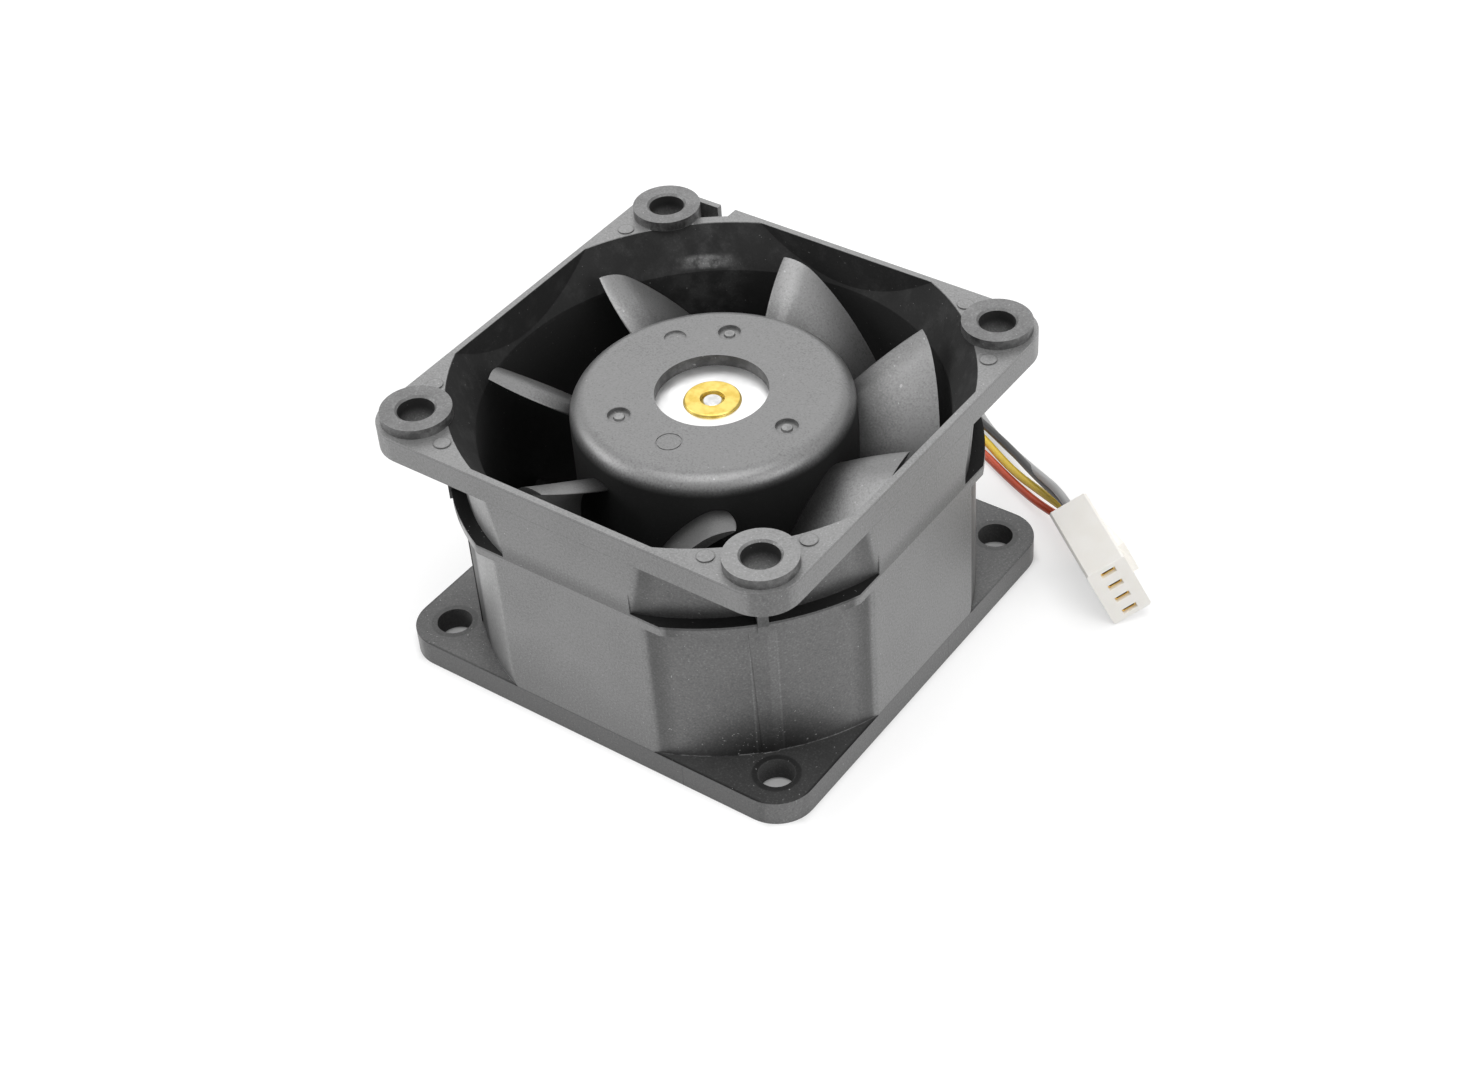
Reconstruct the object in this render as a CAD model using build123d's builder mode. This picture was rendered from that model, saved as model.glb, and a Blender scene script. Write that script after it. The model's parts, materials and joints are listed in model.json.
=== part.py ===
from build123d import *
import os
from math import cos, hypot, pi, radians, sin, sqrt, tan

# Axial cooling fan, 60 x 60 x 38 mm, with a four-wire lead.
# Origin: centre of the outlet face. +Z points along the shaft to the inlet. Sizes in mm.

# Housing
frame_side = 60.0
frame_height = 38.0
corner_radius = 5.0
hole_inset = 5.0
hole_diameter = 4.5
hole_chamfer = 0.3
outlet_flange = 3.4
inlet_flange = 3.4
boss_height = 1.3
boss_radius = 4.4
flat_wall = 1.0
panel_wall = 2.8
neck_wall = 2.2
neck_flare = 0.6
bell_depth = 5.5
bell_spread = 3.0
bell_flat_step = 0.2
ledge_drop = 9.3
ledge_height = 1.4
ledge_step = 1.1
lower_flat_width = 20.8
upper_flat_width = 18.8
web_width = 1.3
web_step = 1.4
rib_width = 3.3
rib_foot_width = 2.0
rib_step = 0.7
pip_radius = 1.05
pip_height = 0.12
pip_out = 2.3
pip_in = 5.9
hole_pitch = frame_side - 2 * hole_inset
boss_top = frame_height
inlet_flange_top = boss_top - boss_height
inlet_flange_low = inlet_flange_top - inlet_flange
duct_radius = frame_side / 2 - flat_wall
panel_radius = duct_radius + panel_wall
neck_radius = duct_radius + neck_wall
bell_start = inlet_flange_top - bell_depth
bell_radius = duct_radius + bell_spread
bell_half_flat = duct_radius + bell_flat_step
ledge_low = inlet_flange_low - ledge_drop
ledge_high = ledge_low + ledge_height
ledge_radius = panel_radius + ledge_step
web_radius = panel_radius + web_step
rib_radius = panel_radius + rib_step
pip_long = hole_pitch / 2 + pip_out
pip_short = hole_pitch / 2 - pip_in

# Wire hook in the inlet flange, its ends counted from the screw hole beside it
hook_near = 1.4
hook_mouth_start = 5.1
hook_far = 7.4
hook_arm = 0.8
hook_ring = 1.3
hook_inner_radius = bell_radius + hook_ring

# Bearings
ball_bearing_radius = 4.0
bearing_width = 4.0
outer_ring_wall = 0.75
inner_ring_wall = 0.8
shaft_radius = 1.5
ball_radius = 0.69
ball_clearance = 0.06
ball_count = 7
cage_thickness = 0.6
shield_thickness = 0.2
shield_gap = 0.1
shield_inset = 0.15
tube_wall = 0.9
tube_low = 0.6
tube_over = 0.4
tube_shoulder = 0.7
tube_outer = ball_bearing_radius + tube_wall

# Hub and rotor cup
hub_radius = 17.5
hub_drop = 4.0
hub_edge = 2.4
hub_cap = 1.6
hub_wall = 1.3
window_radius = 7.0
yoke_wall = 1.0
yoke_rise = 0.6
magnet_wall = 1.85
magnet_gap = 0.35
magnet_over = 0.9
rotor_gap = 0.6
bush_radius = 3.5
bush_collar = 5.0
bush_proud = 0.4
bush_length = 3.6
bush_chamfer = 0.15
hub_top = frame_height - hub_drop
yoke_radius = hub_radius - hub_wall
yoke_top = hub_top - hub_cap
bush_top = yoke_top + bush_proud
bush_low = yoke_top - bush_length

# Shaft, clip, washer and preload spring
shaft_low = 1.4
shaft_chamfer = 0.2
shaft_recess = 0.3
shaft_top_chamfer = 0.4
clip_thickness = 0.4
clip_radius = 2.6
clip_groove_radius = 1.15
clip_mouth = 1.8
washer_thickness = 0.3
spring_wire = 0.22
spring_turns = 3.0
spring_space = 3.4

# Motor base, guide vanes and lead channel
base_low = 0.4
base_floor = 1.6
base_step = 0.1
base_height = 9.2
rim_wall = 1.2
board_ledge = 1.2
board_thickness = 1.2
board_clearance = 0.2
tower_wall = 1.7
tower_rise = 3.2
vane_count = 5
vane_thickness = 1.5
vane_low = 0.6
vane_height = 8.4
vane_lean = 3.8
vane_bow = 1.1
duct_bite = 0.5
channel_angle = 120.0
channel_wall = 0.9
channel_depth = 2.0
channel_roof = 1.3
channel_slot_start = 11.2
channel_clearance = 0.375
tab_size = 1.4
tab_thickness = 0.45
base_radius = hub_radius - base_step
rim_top = base_low + base_height
board_low = base_low + base_floor + board_ledge
board_high = board_low + board_thickness
tower_radius = tube_outer + tower_wall
tower_top = board_high + tower_rise
vane_top = vane_low + vane_height
skirt_low = rim_top + rotor_gap
lower_bearing_low = board_low
upper_bearing_low = bush_low - spring_space - bearing_width

# Stator
core_rise = 3.2
core_under_bearing = 0.6
pole_count = 4
pole_neck_width = 4.6
pole_shoe = 1.4
pole_shoe_gap = 2.4
insulator_plate = 0.8
guard_wall = 0.7
guard_height = 2.6
sleeve_wall = 0.7
coil_build = 2.0
coil_length = 2.8
coil_gap = 0.15
coil_corner = 1.6
pin_radius = 0.3
pin_clearance = 0.05
pin_inset = 1.4
pin_boss = 0.8
core_low = tower_top + core_rise
core_high = upper_bearing_low - core_under_bearing
core_height = core_high - core_low
core_radius = yoke_radius - yoke_wall - magnet_wall - magnet_gap
pole_shoe_inner = core_radius - pole_shoe
coil_inner = pole_neck_width / 2 + coil_gap
coil_half_width = coil_inner + coil_build
coil_end = sqrt((pole_shoe_inner - coil_gap) ** 2 - coil_half_width**2)
coil_start = coil_end - coil_length
core_hub_radius = coil_start - coil_gap
sleeve_radius = tube_outer + sleeve_wall
pin_ring_radius = pole_shoe_inner - pin_inset

# Parts on the circuit board
parts_inset = 2.4
chip_length = 5.0
chip_width = 4.0
chip_height = 1.5
chip_chamfer = 0.25
sensor_length = 4.0
sensor_width = 1.6
sensor_height = 3.4
capacitor_radius = 1.5
capacitor_height = 1.9
resistor_length = 2.0
resistor_width = 1.2
resistor_height = 0.6

# Marks on the hub's cap
dimple_radius = 1.15
dimple_depth = 0.45
dimple_ring_radius = 11.8
dimple_angle = 115.0
dimple_count = 3
stub_radius = 0.6
stub_height = 0.25
stub_taper = 20.0
gate_radius = 1.4
gate_depth = 0.25
gate_ring_radius = 12.0
gate_angle = 148.0
mark_ring_radius = 10.8
mark_angle = -82.0
mark_radius = 1.6
mark_width = 0.15
mark_depth = 0.1

# Blades
blade_count = 7
blade_phase = 105.0
blade_chord = 43.0
tip_gap = 1.6
leading_tip_drop = 3.1
leading_root_drop = 8.7
trailing_rise = 1.8
leading_bow = 1.8
tip_camber = 1.37
root_camber = 2.1
tip_half_thickness = 0.5
root_half_thickness = 0.95
trailing_half_thickness = 0.3
nose_share = 0.2
root_margin = 0.4
tip_margin = 0.5
blade_tip_radius = duct_radius - tip_gap
leading_tip_z = frame_height - leading_tip_drop
leading_root_z = frame_height - leading_root_drop
trailing_z = skirt_low + trailing_rise

# Leads and connector
lead_radius = 0.55
lead_gap = 0.15
lead_seat = 0.1
channel_lead_end = 33.0
channel_lead_bend = 1.2
lead_straight = 3.6
connector_length = 12.9
connector_thickness = 5.4
contact_pitch = 2.54
contact_count = 4
connector_margin = 1.29
connector_origin = (34.66, 29.52, 0.0)
connector_heading = -39.1
connector_lean = 24.1
slot_length = 2.0
slot_width = 0.9
slot_depth = 6.0
wire_hole = 0.75
ramp_height = 0.9
ramp_start = 2.6
ramp_end = 8.8
ramp_width = 5.6
connector_chamfer = 0.3
contact_gap = 0.05
contact_wall = 0.18
contact_inset = 0.4
contact_barrel_start = 1.2
lead_pitch = 2 * lead_radius + lead_gap
channel_width = (contact_count - 1) * lead_pitch + 2 * (lead_radius + channel_clearance)
channel_lead_z = tab_thickness + lead_radius + lead_seat
channel_lead_start = channel_slot_start + channel_width / 4

os.makedirs("parts", exist_ok=True)


def finish(builder, name):
    builder.part.label = name
    export_step(builder.part, f"parts/{name}.step")


def ring(inner, outer, low, high):
    # A plain tube between two heights, used for rings, washers and shields
    with BuildPart() as tube:
        with BuildSketch(Plane.XY.offset(low)):
            Circle(outer)
            Circle(inner, mode=Mode.SUBTRACT)
        extrude(amount=high - low)
    return tube


# Housing: cutter for the bell mouth, a cone with four flats
with BuildPart() as bell_cutter:
    with BuildSketch(Plane.XY.offset(bell_start)):
        Circle(duct_radius)
    with BuildSketch(Plane.XY.offset(inlet_flange_top)):
        Circle(bell_radius)
    loft()
    with BuildSketch(Plane.XY.offset(bell_start)):
        Rectangle(2 * bell_half_flat, 2 * bell_half_flat)
    extrude(amount=inlet_flange_top - bell_start, mode=Mode.INTERSECT)

# Housing: one guide vane, an arched blade that straightens the outlet flow
vane_inner = base_radius - rim_wall / 2
vane_outer = duct_radius + duct_bite
with BuildPart() as guide_vane:
    with BuildSketch(Plane.YZ.offset(vane_inner)):
        with BuildLine():
            ThreePointArc(
                (0, vane_low + vane_thickness / 2),
                (-vane_bow, (vane_low + vane_top) / 2),
                (-vane_lean, vane_top - vane_thickness / 2),
            )
            offset(amount=vane_thickness / 2)
        make_face()
    extrude(amount=vane_outer - vane_inner)

# Housing: flanges, duct wall, corner panels, ledges, webs, bosses and motor base
corner_spots = GridLocations(hole_pitch, hole_pitch, 2, 2)
diagonal_spots = PolarLocations(0, 4, start_angle=45)
with BuildPart() as frame_housing:
    with BuildSketch():
        RectangleRounded(frame_side, frame_side, corner_radius)
    extrude(amount=outlet_flange)
    with BuildSketch(Plane.XY.offset(inlet_flange_low)):
        RectangleRounded(frame_side, frame_side, corner_radius)
    extrude(amount=inlet_flange_top - inlet_flange_low)
    with BuildSketch(Plane.XY.offset(outlet_flange)):
        Circle(panel_radius)
        Rectangle(lower_flat_width, frame_side)
        Rectangle(frame_side, lower_flat_width)
    extrude(amount=ledge_low - outlet_flange)
    with BuildSketch(Plane.XY.offset(ledge_low)):
        Circle(ledge_radius)
    extrude(amount=ledge_high - ledge_low)
    with BuildSketch(Plane.XY.offset(ledge_high)):
        Circle(neck_radius)
    with BuildSketch(Plane.XY.offset(inlet_flange_low)):
        Circle(neck_radius + neck_flare)
    loft()
    with BuildSketch(Plane.XY.offset(ledge_high)):
        Rectangle(upper_flat_width, frame_side)
        Rectangle(frame_side, upper_flat_width)
    extrude(amount=inlet_flange_low - ledge_high)
    with BuildSketch(Plane.XY.offset(ledge_low)):
        with diagonal_spots:
            Rectangle(web_radius, web_width, align=(Align.MIN, Align.CENTER))
    extrude(amount=inlet_flange_low - ledge_low)
    with BuildSketch(Plane.XY.offset(outlet_flange)):
        with diagonal_spots:
            Rectangle(rib_radius, rib_foot_width, align=(Align.MIN, Align.CENTER))
    with BuildSketch(Plane.XY.offset(ledge_low)):
        with diagonal_spots:
            Rectangle(rib_radius, rib_width, align=(Align.MIN, Align.CENTER))
    loft()
    with BuildSketch(Plane.XY.offset(inlet_flange_top)):
        with corner_spots:
            Circle(boss_radius)
    extrude(amount=boss_top - inlet_flange_top)
    # Ejector pips: two beside each boss, but only one at the corner with the wire hook
    pip_spots = [(x * pip_long, y * pip_short) for x in (-1, 1) for y in (-1, 1)]
    pip_spots += [(x * pip_short, y * pip_long) for x, y in ((-1, -1), (1, -1), (1, 1))]
    with BuildSketch(Plane.XY.offset(inlet_flange_top)):
        with Locations(pip_spots):
            Circle(pip_radius)
    extrude(amount=pip_height)
    # Everything stays flush with the 60 mm square
    with BuildSketch():
        RectangleRounded(frame_side, frame_side, corner_radius)
    extrude(amount=boss_top, mode=Mode.INTERSECT)
    # Air duct with its bell mouth
    with BuildSketch():
        Circle(duct_radius)
    extrude(amount=bell_start, mode=Mode.SUBTRACT)
    add(bell_cutter.part, mode=Mode.SUBTRACT)
    # Screw holes, chamfered at both ends
    with Locations((0, 0, boss_top)):
        with corner_spots:
            Hole(hole_diameter / 2)
    face_circles = frame_housing.edges().group_by(Axis.Z)[-1] + frame_housing.edges().group_by(Axis.Z)[0]
    hole_rims = face_circles.filter_by(GeomType.CIRCLE).filter_by(
        lambda edge: abs(edge.radius - hole_diameter / 2) < hole_chamfer
    )
    chamfer(hole_rims, length=hole_chamfer)
    # Hook slot that guides the wires past the inlet flange
    with BuildSketch(Plane.XY.offset(inlet_flange_low)):
        with Locations((hook_near - hole_pitch / 2, frame_side / 2 - hook_arm)):
            Rectangle(hook_far - hook_near, hole_pitch / 2, align=(Align.MIN, Align.MAX))
        Circle(hook_inner_radius, mode=Mode.SUBTRACT)
        with Locations((-hole_pitch / 2, hole_pitch / 2)):
            Circle(boss_radius, mode=Mode.SUBTRACT)
        with Locations((hook_mouth_start - hole_pitch / 2, frame_side / 2)):
            Rectangle(hook_far - hook_mouth_start, 2 * hook_arm, align=(Align.MIN, Align.CENTER))
    extrude(amount=inlet_flange_top - inlet_flange_low, mode=Mode.SUBTRACT)
    # Motor base: floor, rim, ledge for the board and tower for the bearing tube
    with BuildSketch(Plane.XY.offset(base_low)):
        Circle(base_radius)
    extrude(amount=base_floor)
    with BuildSketch(Plane.XY.offset(base_low)):
        Circle(base_radius)
        Circle(base_radius - rim_wall, mode=Mode.SUBTRACT)
    extrude(amount=rim_top - base_low)
    with BuildSketch(Plane.XY.offset(base_low)):
        Circle(base_radius)
        Circle(base_radius - rim_wall - board_ledge, mode=Mode.SUBTRACT)
    extrude(amount=board_low - base_low)
    with BuildSketch(Plane.XY.offset(base_low)):
        Circle(tower_radius)
    extrude(amount=tower_top - base_low)
    # Guide vanes and the channel that carries the leads out under one of them
    with PolarLocations(0, vane_count, start_angle=channel_angle):
        add(guide_vane.part)
    channel_outer = channel_width + 2 * channel_wall
    with BuildSketch():
        with Locations(Rotation(0, 0, channel_angle)):
            with Locations((base_radius - rim_wall, 0)):
                Rectangle(
                    vane_outer - base_radius + rim_wall, channel_outer, align=(Align.MIN, Align.CENTER)
                )
    extrude(amount=channel_depth + channel_roof)
    with BuildSketch():
        with Locations(Rotation(0, 0, channel_angle)):
            with Locations((base_radius - rim_wall - board_ledge, 0)):
                Rectangle(frame_side, channel_width, align=(Align.MIN, Align.CENTER))
    extrude(amount=channel_depth, mode=Mode.SUBTRACT)
    with BuildSketch():
        with Locations(Rotation(0, 0, channel_angle)):
            with Locations((channel_slot_start, 0)):
                Rectangle(
                    base_radius - rim_wall - board_ledge - channel_slot_start,
                    channel_width,
                    align=(Align.MIN, Align.CENTER),
                )
    extrude(amount=board_low, mode=Mode.SUBTRACT)
    # Small tabs that keep the leads in the channel
    with BuildSketch():
        with Locations(Rotation(0, 0, channel_angle)):
            with Locations(
                (base_radius + 2 * tab_size, channel_width / 2 - tab_size / 2),
                (base_radius + 6 * tab_size, tab_size / 2 - channel_width / 2),
            ):
                Rectangle(tab_size, tab_size)
    extrude(amount=tab_thickness)
    # Bore for the bearing tube
    with BuildSketch():
        Circle(tube_outer)
    extrude(amount=tower_top, mode=Mode.SUBTRACT)
finish(frame_housing, "frame_housing")

# Bearing tube: brass, with a shoulder between the two bearings
tube_top = upper_bearing_low + bearing_width + tube_over
with BuildPart() as bearing_tube:
    with BuildSketch(Plane.XY.offset(tube_low)):
        Circle(tube_outer)
        Circle(ball_bearing_radius - tube_shoulder, mode=Mode.SUBTRACT)
    extrude(amount=tube_top - tube_low)
    with BuildSketch(Plane.XY.offset(tube_low)):
        Circle(ball_bearing_radius)
    extrude(amount=lower_bearing_low + bearing_width - tube_low, mode=Mode.SUBTRACT)
    with BuildSketch(Plane.XY.offset(upper_bearing_low)):
        Circle(ball_bearing_radius)
    extrude(amount=tube_top - upper_bearing_low, mode=Mode.SUBTRACT)
finish(bearing_tube, "bearing_tube")

# Ball bearings: grooved rings, balls, crown cage and two shields each
race_outer = ball_bearing_radius - outer_ring_wall
race_inner = shaft_radius + inner_ring_wall
ball_circle = (race_outer + race_inner) / 2
for place, low in (("upper", upper_bearing_low), ("lower", lower_bearing_low)):
    middle = low + bearing_width / 2
    with BuildPart() as outer_ring:
        with BuildSketch(Plane.XY.offset(low)):
            Circle(ball_bearing_radius)
            Circle(race_outer, mode=Mode.SUBTRACT)
        extrude(amount=bearing_width)
        with Locations((0, 0, middle)):
            Torus(ball_circle, ball_radius + ball_clearance, mode=Mode.SUBTRACT)
    finish(outer_ring, f"{place}_bearing_outer_ring")
    with BuildPart() as inner_ring:
        with BuildSketch(Plane.XY.offset(low)):
            Circle(race_inner)
            Circle(shaft_radius, mode=Mode.SUBTRACT)
        extrude(amount=bearing_width)
        with Locations((0, 0, middle)):
            Torus(ball_circle, ball_radius + ball_clearance, mode=Mode.SUBTRACT)
    finish(inner_ring, f"{place}_bearing_inner_ring")
    with BuildPart() as balls:
        with Locations((0, 0, middle)):
            with PolarLocations(ball_circle, ball_count):
                Sphere(ball_radius)
    finish(balls, f"{place}_bearing_balls")
    with BuildPart() as cage:
        with BuildSketch(Plane.XY.offset(middle + ball_radius / 2)):
            Circle(race_outer - 2 * shield_gap)
            Circle(race_inner + 2 * shield_gap, mode=Mode.SUBTRACT)
        extrude(amount=ball_radius / 2 + cage_thickness / 2)
        with Locations((0, 0, middle)):
            with PolarLocations(ball_circle, ball_count):
                Sphere(ball_radius + ball_clearance, mode=Mode.SUBTRACT)
    finish(cage, f"{place}_bearing_cage")
    with BuildPart() as shields:
        for shield_low in (low + shield_inset, low + bearing_width - shield_inset - shield_thickness):
            with BuildSketch(Plane.XY.offset(shield_low)):
                Circle(race_outer)
                Circle(race_inner + shield_gap, mode=Mode.SUBTRACT)
            extrude(amount=shield_thickness)
    finish(shields, f"{place}_bearing_shields")

# Stator core: laminated steel with four wound poles
shoe_middle = (pole_shoe_inner + core_radius) / 2
neck_length = shoe_middle - core_hub_radius / 2
with BuildPart() as stator_core:
    with BuildSketch(Plane.XY.offset(core_low)):
        Circle(core_radius)
        Circle(pole_shoe_inner, mode=Mode.SUBTRACT)
        with PolarLocations(shoe_middle, pole_count, start_angle=45):
            Rectangle(2 * (core_radius - pole_shoe_inner), pole_shoe_gap, mode=Mode.SUBTRACT)
        Circle(core_hub_radius)
        with PolarLocations(0, pole_count):
            with Locations((core_hub_radius / 2, 0)):
                Rectangle(neck_length, pole_neck_width, align=(Align.MIN, Align.CENTER))
        Circle(tube_outer, mode=Mode.SUBTRACT)
    extrude(amount=core_height)
finish(stator_core, "stator_core")

# Insulators: a plate on each end of the core with guards inside and outside the coils

def insulator_solid(face, direction, sleeve_end):
    plate_end = face + direction * insulator_plate
    low = min(face, plate_end)
    with BuildPart() as body:
        with BuildSketch(Plane.XY.offset(low)):
            Circle(core_radius - magnet_gap)
            Circle(pole_shoe_inner, mode=Mode.SUBTRACT)
            with PolarLocations(shoe_middle, pole_count, start_angle=45):
                Rectangle(2 * (core_radius - pole_shoe_inner), pole_shoe_gap, mode=Mode.SUBTRACT)
            Circle(core_hub_radius)
            with PolarLocations(0, pole_count):
                with Locations((core_hub_radius / 2, 0)):
                    Rectangle(neck_length, pole_neck_width, align=(Align.MIN, Align.CENTER))
            Circle(tube_outer, mode=Mode.SUBTRACT)
        extrude(amount=insulator_plate)
        with BuildSketch(Plane.XY.offset(plate_end)):
            Circle(sleeve_radius)
            Circle(tube_outer, mode=Mode.SUBTRACT)
        extrude(amount=sleeve_end - plate_end)
        with BuildSketch(Plane.XY.offset(plate_end)):
            Circle(pole_shoe_inner + guard_wall)
            Circle(pole_shoe_inner, mode=Mode.SUBTRACT)
            with PolarLocations(shoe_middle, pole_count, start_angle=45):
                Rectangle(2 * (core_radius - pole_shoe_inner), pole_shoe_gap, mode=Mode.SUBTRACT)
        extrude(amount=direction * guard_height)
        # Corner posts between the poles carry the terminal pins
        with BuildSketch(Plane.XY.offset(plate_end)):
            with PolarLocations(sleeve_radius, pole_count, start_angle=45):
                Rectangle(
                    pin_ring_radius + pin_boss - sleeve_radius, 2 * pin_boss, align=(Align.MIN, Align.CENTER)
                )
            Circle(tube_outer, mode=Mode.SUBTRACT)
        extrude(amount=-direction * insulator_plate)
    return body


upper_insulator = insulator_solid(core_high, 1, core_high + insulator_plate + guard_height)
finish(upper_insulator, "upper_insulator")
lower_insulator = insulator_solid(core_low, -1, tower_top)
finish(lower_insulator, "lower_insulator")

# Coils: one copper winding round each pole neck
coil_half_height = core_height / 2 + insulator_plate + coil_gap
core_middle = (core_low + core_high) / 2
with BuildPart() as coil:
    with BuildSketch(Plane.YZ.offset(coil_start)):
        with Locations((0, core_middle)):
            RectangleRounded(2 * coil_half_width, 2 * (coil_half_height + coil_build), coil_corner)
            Rectangle(2 * coil_inner, 2 * coil_half_height, mode=Mode.SUBTRACT)
    extrude(amount=coil_length)
with BuildPart() as coil_windings:
    with PolarLocations(0, pole_count):
        add(coil.part)
finish(coil_windings, "coil_windings")

# Circuit board on the base ledge, with its holes for the tower and the terminal pins
board_radius = base_radius - rim_wall - board_clearance
with BuildPart() as circuit_board:
    with BuildSketch(Plane.XY.offset(board_low)):
        Circle(board_radius)
        Circle(tower_radius + board_clearance, mode=Mode.SUBTRACT)
        with PolarLocations(pin_ring_radius, pole_count, start_angle=45):
            Circle(pin_radius + pin_clearance, mode=Mode.SUBTRACT)
    extrude(amount=board_thickness)
finish(circuit_board, "circuit_board")

# Terminal pins from the coil ends down through the board
with BuildPart() as terminal_pins:
    with BuildSketch(Plane.XY.offset(board_low - pin_radius)):
        with PolarLocations(pin_ring_radius, pole_count, start_angle=45):
            Circle(pin_radius)
    extrude(amount=core_low - insulator_plate - board_low + pin_radius)
finish(terminal_pins, "terminal_pins")

# Parts soldered on the board
parts_ring_radius = board_radius - parts_inset
with BuildPart() as driver_chip:
    with BuildSketch(Plane.XY.offset(board_high)):
        with Locations((parts_ring_radius - chip_width / 2, 0)):
            Rectangle(chip_width, chip_length)
    extrude(amount=chip_height)
    chamfer(driver_chip.faces().sort_by(Axis.Z)[-1].edges(), length=chip_chamfer)
finish(driver_chip, "driver_chip")

with BuildPart() as hall_sensor:
    with BuildSketch(Plane.XY.offset(board_high)):
        with PolarLocations(parts_ring_radius, 1, start_angle=90):
            Rectangle(sensor_width, sensor_length)
    extrude(amount=sensor_height)
finish(hall_sensor, "hall_sensor")

with BuildPart() as board_capacitors:
    with BuildSketch(Plane.XY.offset(board_high)):
        with PolarLocations(parts_ring_radius - capacitor_radius / 2, 2, start_angle=180, angular_range=40):
            Circle(capacitor_radius)
    extrude(amount=capacitor_height)
finish(board_capacitors, "board_capacitors")

with BuildPart() as board_resistors:
    with BuildSketch(Plane.XY.offset(board_high)):
        with PolarLocations(parts_ring_radius - resistor_length / 2, 4, start_angle=255, angular_range=60):
            Rectangle(resistor_length, resistor_width)
    extrude(amount=resistor_height)
finish(board_resistors, "board_resistors")

# Rotor yoke: deep-drawn steel cup
yoke_low = skirt_low + yoke_rise
with BuildPart() as rotor_yoke:
    with BuildSketch(Plane.XY.offset(yoke_low)):
        Circle(yoke_radius)
    extrude(amount=yoke_top - yoke_low)
    fillet(rotor_yoke.edges().group_by(Axis.Z)[-1], radius=yoke_wall)
    with BuildSketch(Plane.XY.offset(yoke_low)):
        Circle(yoke_radius - yoke_wall)
    extrude(amount=yoke_top - yoke_wall - yoke_low, mode=Mode.SUBTRACT)
    with BuildSketch(Plane.XY.offset(yoke_top - yoke_wall)):
        Circle(bush_radius)
    extrude(amount=yoke_wall, mode=Mode.SUBTRACT)
finish(rotor_yoke, "rotor_yoke")

# Ring magnet on the inside of the yoke
magnet_low = yoke_low
magnet_high = core_high + magnet_over
rotor_magnet = ring(core_radius + magnet_gap, yoke_radius - yoke_wall, magnet_low, magnet_high)
finish(rotor_magnet, "rotor_magnet")

# Brass bush staked into the yoke, standing a little proud of it
with BuildPart() as shaft_bush:
    with BuildSketch(Plane.XY.offset(bush_low)):
        Circle(bush_collar)
        Circle(shaft_radius, mode=Mode.SUBTRACT)
    extrude(amount=yoke_top - yoke_wall - bush_low)
    with BuildSketch(Plane.XY.offset(yoke_top - yoke_wall)):
        Circle(bush_radius)
        Circle(shaft_radius, mode=Mode.SUBTRACT)
    extrude(amount=bush_top - yoke_top + yoke_wall)
    chamfer(shaft_bush.edges().group_by(Axis.Z)[-1].sort_by(SortBy.RADIUS)[-1], length=bush_chamfer)
finish(shaft_bush, "shaft_bush")

# Shaft: its end sits just below the bush's face, and a groove takes its retaining clip
shaft_top = bush_top - shaft_recess
clip_high = lower_bearing_low - washer_thickness
clip_low = clip_high - clip_thickness
with BuildPart() as shaft:
    with BuildSketch(Plane.XY.offset(shaft_low)):
        Circle(shaft_radius)
    extrude(amount=shaft_top - shaft_low)
    chamfer(shaft.edges().group_by(Axis.Z)[0], length=shaft_chamfer)
    chamfer(shaft.edges().group_by(Axis.Z)[-1], length=shaft_top_chamfer)
    with BuildSketch(Plane.XY.offset(clip_low)):
        Circle(shaft_radius)
        Circle(clip_groove_radius, mode=Mode.SUBTRACT)
    extrude(amount=clip_thickness, mode=Mode.SUBTRACT)
finish(shaft, "shaft")

# Retaining clip, open on one side, and the washer above it
with BuildPart() as retaining_clip:
    with BuildSketch(Plane.XY.offset(clip_low)):
        Circle(clip_radius)
        Circle(clip_groove_radius, mode=Mode.SUBTRACT)
        Rectangle(clip_radius, clip_mouth, align=(Align.MIN, Align.CENTER), mode=Mode.SUBTRACT)
    extrude(amount=clip_thickness)
finish(retaining_clip, "retaining_clip")
thrust_washer = ring(shaft_radius, race_inner, clip_high, lower_bearing_low)
finish(thrust_washer, "thrust_washer")

# Preload spring between the bush and the upper bearing's inner ring
spring_low = upper_bearing_low + bearing_width
spring_circle = (race_inner + shaft_radius) / 2 + spring_wire / 2
spring_height = bush_low - spring_low - 2 * spring_wire
with BuildPart() as preload_spring:
    with BuildLine():
        Helix(
            pitch=spring_height / spring_turns,
            height=spring_height,
            radius=spring_circle,
            center=(0, 0, spring_low + spring_wire),
        )
    with BuildSketch(Plane.XZ):
        with Locations((spring_circle, spring_low + spring_wire)):
            RegularPolygon(spring_wire, 8)
    sweep(is_frenet=True)
finish(preload_spring, "preload_spring")


# Blades: a section is one smooth outline round its nose, closed at the trailing edge.
# The mean line starts level at the leading edge and steepens towards the trailing edge.
def mean_point(distance, share):
    half_chord = blade_chord / 2
    radius_guess = distance / cos(radians(half_chord))
    span = (radius_guess - hub_radius) / (blade_tip_radius - hub_radius)
    bow = 4 * leading_bow * max(span, 0) * max(1 - span, 0)
    angle = half_chord + bow - share * (blade_chord + bow)
    radius = distance / cos(radians(angle))
    reach = (radius - hub_radius) / (blade_tip_radius - hub_radius)
    leading_z = leading_root_z + (leading_tip_z - leading_root_z) * reach
    camber = root_camber + (tip_camber - root_camber) * min(max(reach, 0), 1)
    z = leading_z - (leading_z - trailing_z) * share**camber
    return distance * tan(radians(angle)), z


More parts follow.
